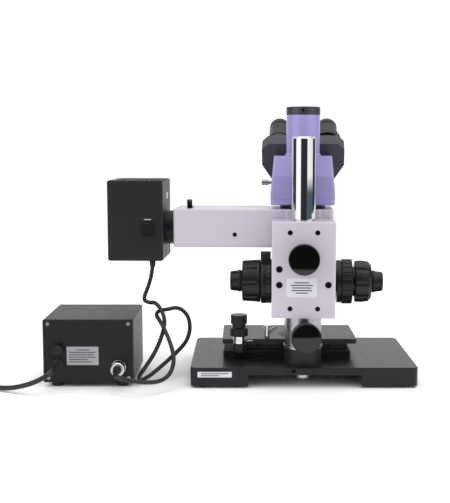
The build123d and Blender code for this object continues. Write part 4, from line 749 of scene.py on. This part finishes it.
# these edge screws are satin chrome; their near-black finish is painted shade that dulls their glints
for x in (-60, 38.3):
    socket_screw(bm, back_face(34.0, x, 41.0, STAND), 2.2, 1.0, 1.1, 0.7)
make("stage_edge_screws", bm, SCREW_OXIDE_AND_SHADE, "stage_y")
bm = bmesh.new()
for i in range(71):
    long = 5.0 if i % 10 == 0 else (3.8 if i % 5 == 0 else 2.6)
    plate(bm, STAND @ T(-50 + i, 130.2 - long / 2, 52.2), 0.22, long, 0.03, r=0.05, seg=1, bevel=0.01)
make("stage_scale", bm, WHITE_INK, "stage_x", smooth=False)
bm = bmesh.new()
lathe(bm, STAND @ T(0, 66, 52.2), [(0, 0.16), (31.2, 0.16), (31.6, 0.0)], 96, closed=False)
make("stage_insert", bm, SATIN_BLACK, "stage_x")

# chrome sleeve with a raised ring under the stage knobs
bm = bmesh.new()
lathe(bm, STAND @ T(KNOB_X, KNOB_Y, 0), [(7.3, 49.0), (7.75, 49.4), (7.75, 58.6), (7.3, 59.0)], 48, closed=False)
lathe(bm, STAND @ T(KNOB_X, KNOB_Y, 0), [(7.75, 53.0), (8.3, 53.3), (8.3, 54.7), (7.75, 55.0)], 48, closed=False)
make("stage_sleeve", bm, CHROME, "stage_y")

# supply front: dial ticks, switch frame and its marks
FRONT = STAND @ T(0, 83.2, 0) @ R(-90, 'X') @ R(180, 'Z')
bm = bmesh.new()
for i in range(11):
    a = math.radians(-135 + 27 * i)
    M = FRONT @ T(258.4, 48, 0) @ R(math.degrees(a), 'Z') @ T(0, 19.6, 0)
    plate(bm, M, 0.8 if i % 5 == 0 else 0.5, 3.4 if i % 5 == 0 else 2.2, 0.05, r=0.15, seg=2, bevel=0.02)
M = FRONT @ T(317.3, 48.5, 0)
lathe(bm, M, [(1.5, 0.0), (1.5, 0.06), (2.1, 0.06), (2.1, 0.0)], 24, closed=False)
plate(bm, FRONT @ T(317.3, 15.0, 0), 0.7, 4.0, 0.06, r=0.2, seg=2, bevel=0.02)
make("supply_marks", bm, WHITE_INK, "stand", smooth=False)
bm = bmesh.new()
for (w, h, cx, cz) in ((19, 1.8, 317.3, 43.9), (19, 1.8, 317.3, 20.1), (1.8, 25.6, 308.7, 32.0), (1.8, 25.6, 325.9, 32.0)):
    plate(bm, FRONT @ T(cx, cz, 0), w, h, 1.2, r=0.5, seg=3, bevel=0.3)
make("switch_frame", bm, KNOB_BLACK, "stand")
bm = bmesh.new()
plate(bm, STAND @ T(0, 99.2, 0) @ R(-90, 'X') @ R(180, 'Z') @ T(258.4, 57.5, 0), 1.2, 7.0, 0.1, r=0.4, seg=3, bevel=0.03)
make("dimmer_pointer", bm, WHITE_INK, "dimmer")

# ribs on the lead entries
bm = bmesh.new()
for i in range(5):
    r0 = 5.2 - 0.26 * i - 0.25
    lathe(bm, back_face(PANEL - 6.5 - 3 * i, -323.6, 31.3, STAND), [(r0 - 0.6, -0.6), (r0 + 0.35, -0.3), (r0 + 0.35, 0.3), (r0 - 0.6, 0.6)], 32)
make("mains_gland_ribs", bm, RUBBER, "stand")
bm = bmesh.new()
for i in range(3):
    r0 = 3.62 - 0.2 * i
    lathe(bm, SWUNG @ T(-206.2, 30.2, 157.2 - 2.3 * i), [(r0 - 0.5, -0.6), (r0 + 0.35, -0.3), (r0 + 0.35, 0.3), (r0 - 0.5, 0.6)], 32)
make("lamp_gland_ribs", bm, RUBBER, "carriage")
bm = bmesh.new()
for i in range(3):
    r0 = 4.75 - 0.42 * i
    lathe(bm, back_face(PANEL - 25 - 3 * i, -244.0, 27.4, STAND), [(r0 - 0.6, -0.6), (r0 + 0.3, -0.3), (r0 + 0.3, 0.3), (r0 - 0.6, 0.6)], 32)
make("lamp_plug_ribs", bm, RUBBER, "stand")


def split_finish(name, axis, at, above, below):
    """One material whose finish changes at a plane: (colour, roughness, metal) on each side."""
    m = Mat(name)
    sep = m.node("ShaderNodeSeparateXYZ")
    m.link(m.tc.outputs["Object"], sep.inputs[0])
    fac = m.rng(sep.outputs[axis], 0, 1, at - 0.0001, at + 0.0001)
    mott = m.rng(m.noise(120, 3), 0, 1)
    a = m.mix(mott, [c * 0.93 for c in above[0]], [min(1, c * 1.05) for c in above[0]])
    b = m.mix(mott, [c * 0.9 for c in below[0]], [min(1, c * 1.1) for c in below[0]])
    m.link(m.mix(fac, b, a), m.b.inputs["Base Color"])
    m.link(m.rng(fac, below[1], above[1], 0, 1), m.b.inputs["Roughness"])
    m.link(m.rng(fac, below[2], above[2], 0, 1), m.b.inputs["Metallic"])
    m.bump(m.noise(1800, 3, 0.7), 0.1, 0.0002)
    return m.m


black_rubber = (lin((30, 29, 30)), 0.55, 0.0)
chrome_like = ([0.74, 0.74, 0.75], 0.14, 1.0)
for s in NODES["lamp_plug"].material_slots:
    s.material = split_finish("lamp_plug_finish", 1, COLY + (PANEL - 18.05) / 1000, chrome_like, black_rubber)
for s in NODES["mains_plug"].material_slots:
    s.material = split_finish("mains_plug_finish", 0, COLX - 0.4971, black_rubber, ([0.70, 0.62, 0.42], 0.2, 1.0))
